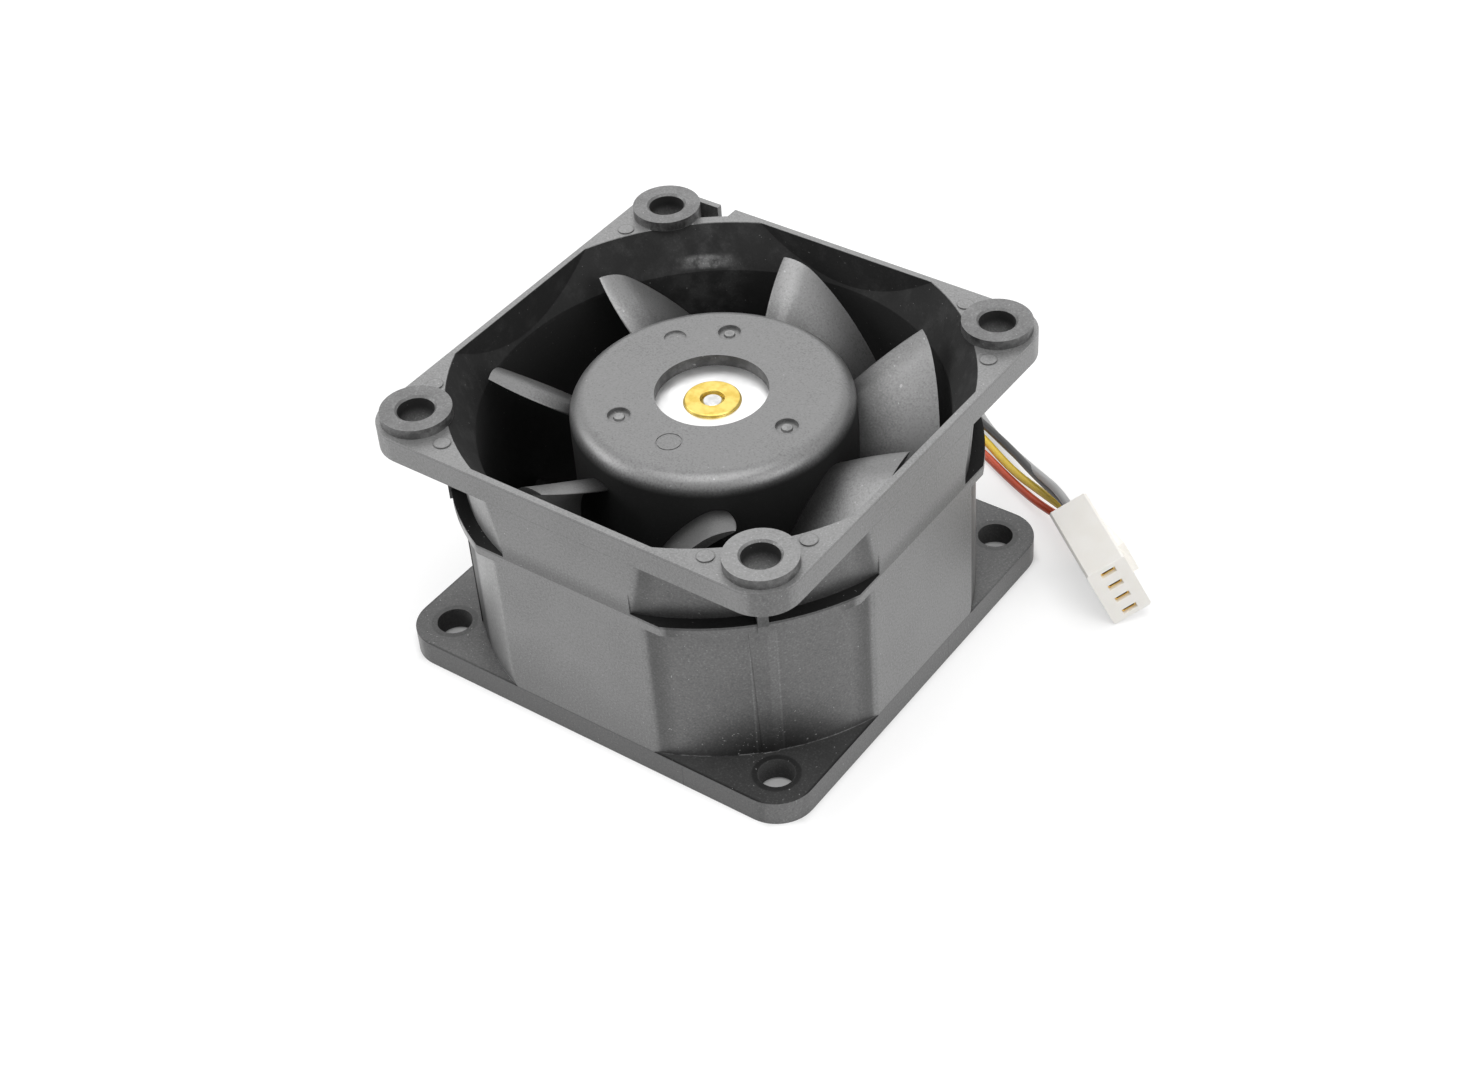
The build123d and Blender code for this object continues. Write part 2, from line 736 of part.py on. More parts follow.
def blade_outline(distance):
    reach = min(max((distance - hub_radius) / (blade_tip_radius - hub_radius), 0), 1)
    thickest = root_half_thickness + (tip_half_thickness - root_half_thickness) * reach
    shares = (0.06, 0.2, 0.42, 0.7, 1.0)
    upper = []
    lower = []
    for share in shares:
        x, z = mean_point(distance, share)
        x_next, z_next = mean_point(distance, share + 0.01)
        length = hypot(x_next - x, z_next - z)
        nose = min(1.0, sqrt(share / nose_share))
        taper = thickest + (trailing_half_thickness - thickest) * share
        half = nose * taper
        side_x = -(z_next - z) / length * half
        side_z = (x_next - x) / length * half
        upper.append((x - side_x, z - side_z))
        lower.append((x + side_x, z + side_z))
    return list(reversed(upper)) + [mean_point(distance, 0)] + lower


blade_inner = (yoke_radius + hub_radius) / 2
section_distances = (
    blade_inner * cos(radians(blade_chord / 2)) - root_margin,
    (hub_radius + blade_tip_radius) / 2,
    blade_tip_radius + tip_margin,
)
with BuildPart() as blade:
    for distance in section_distances:
        with BuildSketch(Plane.YZ.offset(distance)):
            with BuildLine():
                points = blade_outline(distance)
                Spline(*points)
                Line(points[-1], points[0])
            make_face()
    loft()
    with BuildSketch():
        Circle(blade_tip_radius)
        Circle(blade_inner, mode=Mode.SUBTRACT)
    extrude(amount=boss_top, mode=Mode.INTERSECT)

# Impeller: hub cup over the yoke, seven blades, window and marks on its cap
with BuildPart() as impeller:
    with BuildSketch(Plane.XY.offset(skirt_low)):
        Circle(hub_radius)
    extrude(amount=hub_top - skirt_low)
    fillet(impeller.edges().group_by(Axis.Z)[-1], radius=hub_edge)
    with PolarLocations(0, blade_count, start_angle=blade_phase - blade_chord / 2):
        add(blade.part)
    with BuildSketch(Plane.XY.offset(skirt_low)):
        Circle(yoke_radius)
    extrude(amount=yoke_top - skirt_low, mode=Mode.SUBTRACT)
    with BuildSketch(Plane.XY.offset(yoke_top)):
        Circle(window_radius)
    extrude(amount=hub_cap, mode=Mode.SUBTRACT)
    # Pockets that hold the broken stubs of the moulding gates
    with BuildSketch(Plane.XY.offset(hub_top)):
        with PolarLocations(dimple_ring_radius, dimple_count, start_angle=dimple_angle):
            Circle(dimple_radius)
    extrude(amount=-dimple_depth, mode=Mode.SUBTRACT)
    with BuildSketch(Plane.XY.offset(hub_top - dimple_depth)):
        with PolarLocations(dimple_ring_radius, dimple_count, start_angle=dimple_angle):
            Circle(stub_radius)
    extrude(amount=stub_height, taper=stub_taper)
    with BuildSketch(Plane.XY.offset(hub_top)):
        with PolarLocations(gate_ring_radius, 1, start_angle=gate_angle):
            Circle(gate_radius)
    extrude(amount=-gate_depth, mode=Mode.SUBTRACT)
    with BuildSketch(Plane.XY.offset(hub_top)):
        with PolarLocations(mark_ring_radius, 1, start_angle=mark_angle):
            Circle(mark_radius)
            Circle(mark_radius - mark_width, mode=Mode.SUBTRACT)
    extrude(amount=-mark_depth, mode=Mode.SUBTRACT)
finish(impeller, "impeller")

# Connector: built square, then leaned over on its long lower edge as it lies on the table
connector_height = contact_pitch * (contact_count - 1) + 2 * connector_margin
heading = radians(connector_heading)
lean = radians(connector_lean)
connector_plane = Plane(
    origin=connector_origin,
    x_dir=(cos(heading), sin(heading), 0),
    z_dir=(sin(lean) * sin(heading), -sin(lean) * cos(heading), cos(lean)),
)
way_heights = [connector_height - connector_margin - way * contact_pitch for way in range(contact_count)]
way_middle = connector_thickness / 2


def finish_on_connector(builder, name):
    placed = connector_plane.location * builder.part
    placed.label = name
    export_step(placed, f"parts/{name}.step")
    return placed


with BuildPart() as connector_housing:
    Box(connector_length, connector_thickness, connector_height, align=Align.MIN)
    chamfer(connector_housing.edges().filter_by(Axis.X), length=connector_chamfer)
    # Locking ramp on the far face
    with BuildSketch(Plane.XY.offset((connector_height - ramp_width) / 2)):
        with BuildLine():
            Polyline(
                (ramp_start, connector_thickness),
                (ramp_end, connector_thickness + ramp_height),
                (ramp_end, connector_thickness),
                close=True,
            )
        make_face()
    extrude(amount=ramp_width)
    # Pin slots in the mating face and wire holes in the other end
    with BuildSketch(Plane.YZ.offset(connector_length)):
        with Locations(*[(way_middle, height) for height in way_heights]):
            Rectangle(slot_length, slot_width)
    extrude(amount=-slot_depth, mode=Mode.SUBTRACT)
    with BuildSketch(Plane.YZ.offset(connector_length - slot_depth)):
        with Locations(*[(way_middle, height) for height in way_heights]):
            Circle(wire_hole)
    extrude(amount=slot_depth - connector_length, mode=Mode.SUBTRACT)
finish_on_connector(connector_housing, "connector_housing")

# Contacts: folded box springs in the slots, crimped on the wire ends
with BuildPart() as connector_contacts:
    with BuildSketch(Plane.YZ.offset(connector_length - slot_depth)):
        with Locations(*[(way_middle, height) for height in way_heights]):
            Rectangle(slot_length - 2 * contact_gap, slot_width - 2 * contact_gap)
            Rectangle(
                slot_length - 2 * contact_gap - 2 * contact_wall,
                slot_width - 2 * contact_gap - 2 * contact_wall,
                mode=Mode.SUBTRACT,
            )
    extrude(amount=slot_depth - contact_inset)
    with BuildSketch(Plane.YZ.offset(contact_barrel_start)):
        with Locations(*[(way_middle, height) for height in way_heights]):
            Circle(wire_hole - contact_gap)
    extrude(amount=connector_length - slot_depth - contact_barrel_start)
finish_on_connector(connector_contacts, "connector_contacts")

# Leads inside the channel: from the board's underside out to the edge of the housing
out_x = cos(radians(channel_angle))
out_y = sin(radians(channel_angle))
lead_names = ("grey_lead", "black_lead", "yellow_lead", "red_lead")
lead_starts = []
for index, name in enumerate(lead_names):
    shift = (index - (len(lead_names) - 1) / 2) * lead_pitch
    side = Vector(out_y * shift, -out_x * shift, 0)

    def along(distance, height):
        return Vector(out_x * distance, out_y * distance, height) + side

    path_points = [
        along(channel_lead_start, board_low),
        along(channel_lead_start, channel_lead_z),
        along(channel_lead_end, channel_lead_z),
    ]
    with BuildPart() as channel_lead:
        with BuildLine() as channel_path:
            FilletPolyline(*path_points, radius=channel_lead_bend)
        with BuildSketch(Plane(origin=path_points[0], z_dir=(0, 0, -1))):
            Circle(lead_radius)
        sweep()
    finish(channel_lead, f"channel_{name}")
    lead_starts.append(path_points[-1])


# Free leads: hand-placed points behind the housing, from the channel to the connector
def connector_point(back, way):
    return connector_plane.from_local_coords(Vector(-back, way_middle, way_heights[way]))


lead_routes = {
    "grey_lead": [
        (-20.8, 32.1, 0.75),
        (-22.0, 42.2, 0.6),
        (-15.2, 49.8, 0.6),
        (-5.8, 53.2, 0.6),
        (3.2, 52.0, 0.6),
        (10.1, 48.1, 0.6),
        (17.0, 43.2, 0.6),
        (25.4, 37.7, 4.5),
    ],
    "black_lead": [
        (-19.6, 32.6, 0.75),
        (-20.2, 41.4, 0.6),
        (-13.8, 47.8, 0.6),
        (-5.0, 50.6, 0.6),
        (3.0, 49.6, 0.8),
        (10.6, 45.6, 1.8),
        (18.3, 41.4, 2.5),
        (25.0, 36.1, 4.3),
    ],
    "yellow_lead": [
        (-18.4, 33.1, 0.75),
        (-18.4, 40.6, 0.6),
        (-12.4, 45.9, 0.6),
        (-4.2, 48.0, 0.6),
        (3.9, 47.8, 0.6),
        (11.7, 44.3, 0.7),
        (18.5, 39.3, 1.9),
        (25.5, 34.4, 3.3),
    ],
    "red_lead": [
        (-17.2, 33.5, 0.75),
        (-16.6, 39.8, 0.6),
        (-11.0, 43.9, 0.6),
        (-3.6, 45.2, 0.6),
        (4.2, 44.5, 0.6),
        (12.2, 41.9, 0.6),
        (20.0, 38.0, 0.7),
        (27.5, 34.1, 2.2),
    ],
}
for way, name in enumerate(lead_names):
    route = [lead_starts[way]] + [Vector(*point) for point in lead_routes[name]]
    route += [connector_point(lead_straight, way), connector_point(0, way)]
    runs = [route[i + 1] - route[i] for i in range(len(route) - 1)]
    radii = []
    for before, after in zip(runs, runs[1:]):
        half_turn = radians(before.get_angle(after) / 2)
        radii.append(0.45 * min(before.length, after.length) / tan(half_turn))
    with BuildPart() as lead:
        with BuildLine() as lead_path:
            FilletPolyline(*route, radius=radii)
        with BuildSketch(Plane(origin=route[0], z_dir=runs[0])):
            Circle(lead_radius)
        sweep()
    finish(lead, name)
    tube_volume = pi * lead_radius**2 * lead_path.wire().length
    print(name, "length", round(lead_path.wire().length, 1), "radii", [round(r, 1) for r in radii])
    print(name, "volume", round(lead.part.volume, 2), "section times length", round(tube_volume, 2))
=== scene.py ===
import json
from math import cos, pi, radians, sin

import bmesh
import bpy
import numpy as np
from mathutils import Matrix, Vector


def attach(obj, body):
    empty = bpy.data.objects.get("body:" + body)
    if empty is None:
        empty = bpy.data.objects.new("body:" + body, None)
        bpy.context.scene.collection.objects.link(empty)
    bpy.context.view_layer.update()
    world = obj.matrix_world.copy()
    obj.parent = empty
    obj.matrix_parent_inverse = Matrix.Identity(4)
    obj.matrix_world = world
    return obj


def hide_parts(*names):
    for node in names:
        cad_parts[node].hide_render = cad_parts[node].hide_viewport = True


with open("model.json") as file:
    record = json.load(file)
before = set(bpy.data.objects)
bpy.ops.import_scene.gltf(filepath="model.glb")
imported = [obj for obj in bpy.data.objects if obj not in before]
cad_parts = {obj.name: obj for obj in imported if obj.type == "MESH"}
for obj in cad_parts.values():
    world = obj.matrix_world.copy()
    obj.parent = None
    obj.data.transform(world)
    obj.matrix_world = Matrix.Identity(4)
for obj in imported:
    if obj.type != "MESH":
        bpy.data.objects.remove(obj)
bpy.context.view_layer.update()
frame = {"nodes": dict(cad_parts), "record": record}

scene = bpy.context.scene
nodes = frame["nodes"]
mm = 0.001  # sizes below are in millimetres, and are turned into metres by this
acrossShare = 0.7071  # |x| - |y| times this is the distance from the diagonal through two corners


# Shader maths: a Field wraps one output socket, and the operators add Math nodes behind it
class Field:
    def __init__(self, finish, socket):
        self.finish = finish
        self.socket = socket

    def maths(self, operation, *values, clamp=False):
        return self.finish.node("ShaderNodeMath", {"operation": operation, "use_clamp": clamp}, values, 0)

    def __add__(self, other):
        return self.maths("ADD", self, other)

    def __radd__(self, other):
        return self.maths("ADD", other, self)

    def __sub__(self, other):
        return self.maths("SUBTRACT", self, other)

    def __rsub__(self, other):
        return self.maths("SUBTRACT", other, self)

    def __mul__(self, other):
        return self.maths("MULTIPLY", self, other)

    def __rmul__(self, other):
        return self.maths("MULTIPLY", other, self)

    def __gt__(self, other):
        return self.maths("GREATER_THAN", self, other)

    def __lt__(self, other):
        return self.maths("LESS_THAN", self, other)

    def sine(self):
        return self.maths("SINE", self)

    def size(self):
        return self.maths("ABSOLUTE", self)

    def larger(self, other):
        return self.maths("MAXIMUM", self, other)

    def smaller(self, other):
        return self.maths("MINIMUM", self, other)

    def root(self):
        return self.maths("SQRT", self)

    def clamped(self):
        return self.maths("ADD", self, 0.0, clamp=True)


# One material: its node tree, the coordinates in millimetres and the few patterns used everywhere
class Finish:
    def __init__(self, name):
        self.material = bpy.data.materials.new(name)
        self.material.use_nodes = True
        self.tree = self.material.node_tree
        self.tree.nodes.clear()
        self.out = self.tree.nodes.new("ShaderNodeOutputMaterial")
        place = self.node("ShaderNodeTexCoord", output="Object")
        self.spot = self.node("ShaderNodeVectorMath", {"operation": "SCALE"}, {0: place, "Scale": 1 / mm}, 0)
        self.x, self.y, self.z = [
            self.node("ShaderNodeSeparateXYZ", {}, {0: self.spot}, axis) for axis in ("X", "Y", "Z")
        ]
        facing = self.node("ShaderNodeNewGeometry", output="Normal")
        self.up = self.node("ShaderNodeSeparateXYZ", {}, {0: facing}, "Z")

    # Adds a node: its settings first, then a value or a link for each socket
    def node(self, kind, settings=None, values=None, output=0):
        made = self.tree.nodes.new(kind)
        for key, value in (settings or {}).items():
            setattr(made, key, value)
        pairs = values.items() if isinstance(values, dict) else enumerate(values or ())
        for key, value in pairs:
            if isinstance(value, Field):
                self.tree.links.new(value.socket, made.inputs[key])
            else:
                made.inputs[key].default_value = value
        return Field(self, made.outputs[output])

    def noise(self, perMm, detail=2.0, spot=None, rough=0.5):
        values = {"Vector": spot or self.spot, "Scale": perMm, "Detail": detail, "Roughness": rough}
        return self.node("ShaderNodeTexNoise", {}, values, 0)

    def ramp(self, field, low, high):  # 0 below low, 1 above high, smooth between
        values = {"Value": field, "From Min": low, "From Max": high}
        return self.node("ShaderNodeMapRange", {"interpolation_type": "SMOOTHSTEP"}, values, 0)

    def fade(self, field, low, high):  # 1 below low, 0 above high, smooth between
        return 1 - self.ramp(field, low, high)

    def patches(self, perMm, detail, low, high, rough=0.5):  # noise, 0 where below low and 1 above high
        return self.ramp(self.noise(perMm, detail, rough=rough), low, high)

    def line(self, field, at, halfWidth):  # 1 along a thin line where the field has that value
        core = 0.4 * halfWidth  # it keeps its full strength this far from the middle
        return self.fade((field - at).size(), core, halfWidth)

    def wave(self, field, lengthMm):  # a sine along the field, one turn for each length
        return (field * (2 * pi / lengthMm)).sine()

    def mix(self, share, first, second):
        values = {"Factor": share, 6: first, 7: second}
        return self.node("ShaderNodeMix", {"data_type": "RGBA"}, values, 2)

    def distance(self, alongX, alongY):
        return (alongX * alongX + alongY * alongY).root()

    def radius(self):
        return self.distance(self.x, self.y)

    def bump(self, height, depthMm):
        values = {"Height": height, "Distance": depthMm * mm, "Strength": 1.0}
        return self.node("ShaderNodeBump", {}, values, 0)

    def shade(self, fixed=None, **varied):  # the Principled shader; a name's capitals part its words
        values = {spaced(name): value for name, value in varied.items()}
        values.update(fixed or {})
        shader = self.node("ShaderNodeBsdfPrincipled", {}, values, 0)
        self.tree.links.new(shader.socket, self.out.inputs["Surface"])
        return self


def spaced(name):
    parted = [" " + letter if letter.isupper() and index else letter for index, letter in enumerate(name)]
    return "".join(parted)


def grey(value):
    return (value, value, value, 1.0)


def rgb(red, green, blue):
    return (red, green, blue, 1.0)


def between(low, high, share):
    return low + share * (high - low)


def swing(field, size):  # a pattern from 0 to 1 becomes one about 0, of this size from end to end
    return (field - 0.5) * size


# In the settings below, a name in Span or Rise holds the two values between which something comes
# in or goes out, one in Line a line's middle and half its width, and one in Patch what patches takes

# Housing tone: outer faces scuffed mid grey, their tops painted paler as lit from above, corner panels with
# painted shade towards their feet, the duct and the screw holes painted nearly black as shade, with fine lines
# where the mould parted
def housingTone(f, settings):
    lowFlange, underSeam, hair = settings["lowFlange"], settings["underSeam"], settings["hair"]
    edge = f.x.size().larger(f.y.size())
    across = (f.x.size() - f.y.size()) * acrossShare
    aside = across.size()  # distance from the corner's middle line
    holeWay = f.distance(f.x.size() - settings["holeSpot"], f.y.size() - settings["holeSpot"])
    face = f.ramp(edge, *settings["faceSpan"])
    topward = f.ramp(f.up, *settings["topwardSpan"])
    high = f.ramp(f.z, lowFlange - hair, lowFlange + hair)
    upper = f.z > underSeam - hair
    shaft = high * (f.z < underSeam - hair)  # the body between the two flanges
    # Corner panels: painted shade at the foot, at the very bottom and above the ledge, with two fine painted
    # highlights along the rib and a soft one on it
    foot = f.fade(f.z, *settings["footRise"]) * f.fade(aside, *settings["footSpan"]) * high
    sole = f.fade(f.z, *settings["soleRise"]) * high
    neck = f.fade(f.z, *settings["neckRise"]) * (f.z > settings["neckFoot"]) * settings["neckShade"]
    rib = f.line(aside, *settings["ribLine"]) + f.line(across, *settings["sheerLine"]) * settings["sheerShare"]
    rib = rib * high * (f.z < settings["ribTop"])
    panel = settings["panel"] * (1 - foot * settings["footShade"]) * (1 - sole * settings["soleShade"])
    panel = panel * (1 - neck) + rib * settings["ribGlint"] * (1 - foot * settings["ribFootShade"])
    # The left corner's panels: painted light far from the rib on the one seen edge on, and painted shade near the
    # rib on both
    leftCorner = (f.x < 0.0) * (f.y < 0.0) * shaft
    strip = leftCorner * (f.y < f.x)
    lit = f.ramp(aside, *settings["litSpan"]) * strip
    unlit = f.fade(aside, *settings["unlitSpan"]) * leftCorner
    panel = panel + lit * f.ramp(f.z, *settings["litRise"]) * settings["stripLight"]
    panel = panel * (1 - unlit * settings["unlitShade"])
    # Panels, flat faces and tops come together: tops painted paler as lit from above, the low flange's sides and
    # tops painted darker as shade, and the small ledge at the corners painted nearly black as shade
    side = between(settings["lowSide"], settings["side"], high)
    top = between(settings["lowTop"], settings["top"], f.ramp(f.z, *settings["topRise"]))
    ledge = topward * ((f.z - settings["ledgeTop"]).size() < settings["ledgeHalf"])
    tone = between(between(panel, side, face), top, topward) * (1 - ledge * settings["ledgeShade"])
    # Seams: dark on the faces, one of them worn away in places, and a painted highlight along the panels' foot,
    # broken in places
    worn = f.patches(*settings["wornPatch"])
    seam = f.line(f.z, settings["highSeam"], settings["seamHalf"])
    seam = seam + f.line(f.z, underSeam, settings["seamHalf"]) * worn
    seam = (seam + f.line(f.z, lowFlange, settings["flangeHalf"])).clamped()
    tone = tone * (1 - seam * face * settings["seamShade"])
    footHighlight = f.line(f.z, settings["footHighlight"], settings["seamHalf"]) * (1 - face) * worn
    tone = tone + footHighlight * settings["footHighlightLift"]
    # Painted shade at the near corner (used on the low flange further down), along the panels' margins and along
    # two steps in the low flange; the tops of the bosses away from the near corner darker in patches
    nearCornerShade = f.ramp(f.x - f.y, *settings["nearShadeSpan"])  # most at the corner nearest to the camera
    farBoss = topward * (f.z > settings["farBossFrom"]) * (1 - nearCornerShade)
    tone = tone * (1 - farBoss * settings["farBossShade"] * f.patches(*settings["farBossPatch"]))
    margin = f.ramp(edge, *settings["marginSpan"]) * (1 - face) * (1 - topward) * shaft * (1 - strip)
    tone = tone * (1 - margin * settings["marginShade"])
    step = f.line(f.x, *settings["stepXLine"]) * (f.y < -settings["stepFace"])
    step = step + f.line(f.y, *settings["stepYLine"]) * (f.x > settings["stepFace"])
    tone = tone * (1 - step * (f.z < settings["stepTop"]) * settings["stepShade"])
    # Sides of the bosses in painted shade, lighter in worn patches; painted shade in rings round the low holes
    # and along the outlines of the round marks
    boss = (f.z > settings["bossFoot"]) * f.fade(f.up, *settings["steepSpan"]) * (holeWay > settings["bossWay"])
    bossShade = between(settings["bossShade"], settings["bossWorn"], f.patches(*settings["bossPatch"]))
    tone = tone * (1 - boss * bossShade)
    ring = f.line(holeWay, *settings["ringLine"]) * (f.z < lowFlange + hair) * (f.z > settings["ringFoot"])
    tone = tone * (1 - ring * settings["ringShade"])
    pipWay = f.distance(edge - settings["pipLong"], f.x.size().smaller(f.y.size()) - settings["pipShort"])
    hooked = (f.x < 0.0) * (f.y > 0.0) * (f.y.size() > f.x.size())  # the hook's slot is in this place
    pip = f.line(pipWay, *settings["pipLine"]) * (f.z > settings["pipFoot"]) * (1 - hooked)
    tone = tone * (1 - pip * settings["pipShade"])
    # Screw holes: painted shade, near black at the upper ones' top and dark in the low ones, with painted light
    # towards the upper ones' foot, where the light falls in
    bore = (holeWay < settings["holeRadius"]) * (upper + (f.z < settings["lowBoreTop"])).clamped()
    boreTone = between(settings["boreFoot"], settings["boreTop"], f.ramp(f.z, *settings["boreRise"]))
    tone = between(tone, boreTone * between(settings["lowBore"], 1.0, upper), bore)
    # The duct and its bell, radius = wall + rise * slope, painted nearly black as shade, with one painted
    # highlight spot and its halo, and faint smears
    rise = f.z - settings["bellStart"]
    bell = settings["ductWall"] + rise.larger(0.0) * settings["bellSlope"]
    inside = (f.radius() < bell) * (edge < settings["flatWall"]) * (f.z < settings["bellTop"])
    glowWay = f.distance(f.x - settings["glowX"], f.y - settings["glowY"])
    glow = f.line(f.z, *settings["glowLine"]) * f.fade(glowWay, *settings["glowSpan"])
    halo = f.fade(glowWay, *settings["haloSpan"]) * f.patches(*settings["haloPatch"]) * settings["haloShare"]
    smear = f.patches(*settings["smearPatch"]) * settings["bellSmear"] * (rise > settings["smearFoot"])
    glow = glow * f.patches(*settings["glowPatch"]) + halo
    inner = settings["inner"] + glow * settings["bellHighlight"] + smear
    dull = (inside + bore).clamped()
    # Sheen: strong on the flat faces, full on their tops, none in the duct and in the holes
    lower = f.fade(f.z, *settings["lowerRise"])
    lowNearShade = lower * topward * nearCornerShade
    # painted shade on the low flange's top at the near corner, and less sheen there
    tone = tone * (1 - lowNearShade * settings["nearShadeDepth"])
    sheen = settings["panelSheen"] * (1 - unlit * settings["unlitDull"]) * (1 - margin * settings["marginDull"])
    sheen = between(sheen + lit * settings["litSheen"], settings["faceSheen"], face).larger(topward)
    sheen = between(sheen, settings["lowSheen"], lower) * (1 - dull) * (1 - foot * settings["footDull"])
    sheen = sheen * (1 - neck) * (1 - ledge) * (1 - lowNearShade * settings["nearShadeDull"])
    lowFront = face * f.fade(f.z, *settings["frontRise"]) * (f.y < settings["frontY"])
    sheen = sheen * (1 - farBoss * settings["farBossDull"]) * (1 - lowFront * settings["frontDull"])
    # the foot's mask also goes out as speckled, which brings more dust and flecks there
    return between(tone, inner, inside), dull, foot, sheen


# The three pits in the cap: the tone below paints shade round their rims and light on their floors, and widenPits
# moves their points
pits = {"ringMm": 11.8, "angles": (115, 235, 355), "reachMm": 1.4, "lowMm": 33.3, "share": 1.24}
pitMiddles = [
    (pits["ringMm"] * cos(radians(angle)), pits["ringMm"] * sin(radians(angle))) for angle in pits["angles"]
]


# Impeller tone: the cap is scuffed mid grey, the hub's wall and the blade roots painted black as shade, and the
# blades painted paler higher up and further from the hub, with painted shade deep in the duct
def impellerTone(f, settings):
    onHub = f.radius() < settings["hubWay"]
    # Blades: painted shade towards the hub and deep down, paler higher up and further out
    out = f.ramp(f.radius(), *settings["rootSpan"])
    high = f.ramp(f.z, *settings["bladeRise"])
    blade = between(settings["root"], settings["blade"], high * between(settings["rootShare"], 1.0, out))
    # The hub's wall, below the cap, painted black as shade
    cap = f.ramp(f.z, *settings["capRise"])
    wall = (1 - cap) * onHub
    # A painted highlight along the cap's rounded rim
    rim = f.line(f.z, *settings["rimLine"]) * settings["rimGlint"]
    hub = between(settings["wall"], settings["cap"], cap) * (1 + rim * cap)
    # The window's wall: painted shade, lighter in worn patches
    window = (f.radius() < settings["windowWay"]) * (f.z > settings["windowFoot"])
    window = window * f.fade(f.up, *settings["steepSpan"])
    windowShade = between(settings["windowShade"], settings["windowWorn"], f.patches(*settings["windowPatch"]))
    hub = hub * (1 - window * windowShade)
    # The pits: painted shade round their rims and painted light on their floors, in patches
    for pitX, pitY in pitMiddles:
        pitWay = f.distance(f.x - pitX, f.y - pitY)
        floor = f.fade(pitWay, *settings["pitSpan"]) * cap * f.patches(*settings["pitPatch"])
        rimShade = f.line(pitWay, *settings["pitLine"]) * cap * settings["pitShade"]
        hub = hub * (1 - rimShade) + floor * settings["pitFloor"]
    rootDull = (1 - onHub) * (1 - out) * settings["rootDull"]
    sheen = (1 - wall) * (1 - rootDull) * (1 - window * settings["windowDull"])
    return between(blade, hub, onHub), wall, 0.0, sheen


# Glass-filled moulded plastic over a tone: cloudy flow marks, mottling, glass flecks and dust
mouldedSkin = {
    "cloudSpan": (0.3, 0.7), "cloudRough": 0.55, "mottleRough": 0.65, "fleckSpan": (0.62, 0.72),
    "dustSpan": (0.76, 0.80), "dullDust": 0.6, "rough": 0.5, "dullness": 0.3, "sheenMottle": 0.5,
    "sheenCloud": 0.15,
    "coat": {"IOR": 1.5, "Specular IOR Level": 0.4, "Coat IOR": 2.1, "Coat Roughness": 0.42},
}


def mouldedPlastic(name, settings, toneOf):
    settings = {**mouldedSkin, **settings}
    f = Finish(name)
    tone, dull, speckled, sheen = toneOf(f, settings)
    cloud = f.patches(settings["cloudPerMm"], 4.0, *settings["cloudSpan"], rough=settings["cloudRough"])
    mottle = f.noise(settings["mottlePerMm"], 3.0, rough=settings["mottleRough"])
    grain = f.noise(settings["grainPerMm"], 1.0)
    flecks = f.patches(settings["fleckPerMm"], 1.0, *settings["fleckSpan"])
    dust = f.noise(settings["dustPerMm"], 1.0) + speckled * settings["dustMore"]
    dust = f.ramp(dust, *settings["dustSpan"])
    tone = tone * (1 + swing(cloud, settings["cloudSwing"]) + swing(mottle, settings["mottleSwing"]))
    tone = tone * (1 + swing(grain, settings["grainSwing"]) + flecks * (1 + speckled) * settings["fleckLift"])
    tone = tone + dust * (1 - dull * settings["dullDust"]) * settings["dustTone"]
    rough = settings["rough"] + dull * settings["dullness"] + swing(cloud, settings["roughSwing"])
    uneven = 1 + swing(mottle, settings["sheenMottle"]) + swing(cloud, settings["sheenCloud"])
    coat = (sheen * (uneven + swing(grain, settings["sheenGrain"]))).clamped()
    relief = f.bump(mottle, settings["grainDepthMm"])
    return f.shade(settings["coat"], BaseColor=tone, Roughness=rough, CoatWeight=coat, Normal=relief)


# Metal turned or ground about the shaft axis: rings of fine tool marks
turnedSkin = {"stainSpan": (0.35, 0.7), "ringSwing": 0.2, "stainRough": 0.08}


def turnedMetal(name, settings):
    settings = {**turnedSkin, **settings}
    f = Finish(name)
    along = (f.radius() * settings["ringsPerMm"], 0.0, f.z * settings["ringsPerMm"])
    rings = f.noise(1.0, 3.0, spot=f.node("ShaderNodeCombineXYZ", {}, along))
    stain = f.patches(settings["stainPerMm"], 3.0, *settings["stainSpan"])
    colour = f.mix(stain, settings["light"], settings["dark"])
    rough = settings["rough"] + swing(rings, settings["ringSwing"]) + stain * settings["stainRough"]
    relief = f.bump(rings, settings["ringDepthMm"])
    return f.shade({"Metallic": 1.0}, BaseColor=colour, Roughness=rough, Normal=relief)


# Matt or satin mouldings and coatings of one tone: slight mottling and a fine skin
plainBase = {"mottleSpan": (0.3, 0.7), "roughSwing": 0.15, "metal": 0.0, "fixed": {}}


def plainSkin(name, settings):
    settings = {**plainBase, **settings}
    f = Finish(name)
    mottle = f.noise(settings["mottlePerMm"], 3.0)
    grain = f.noise(settings["grainPerMm"], 2.0)
    colour = f.mix(f.ramp(mottle, *settings["mottleSpan"]), settings["light"], settings["dark"])
    rough = settings["rough"] + swing(mottle, settings["roughSwing"])
    relief = f.bump(grain, settings["grainDepthMm"])
    fixed = {"Metallic": settings["metal"], "IOR": 1.5, **settings["fixed"]}
    return f.shade(fixed, BaseColor=colour, Roughness=rough, Normal=relief)


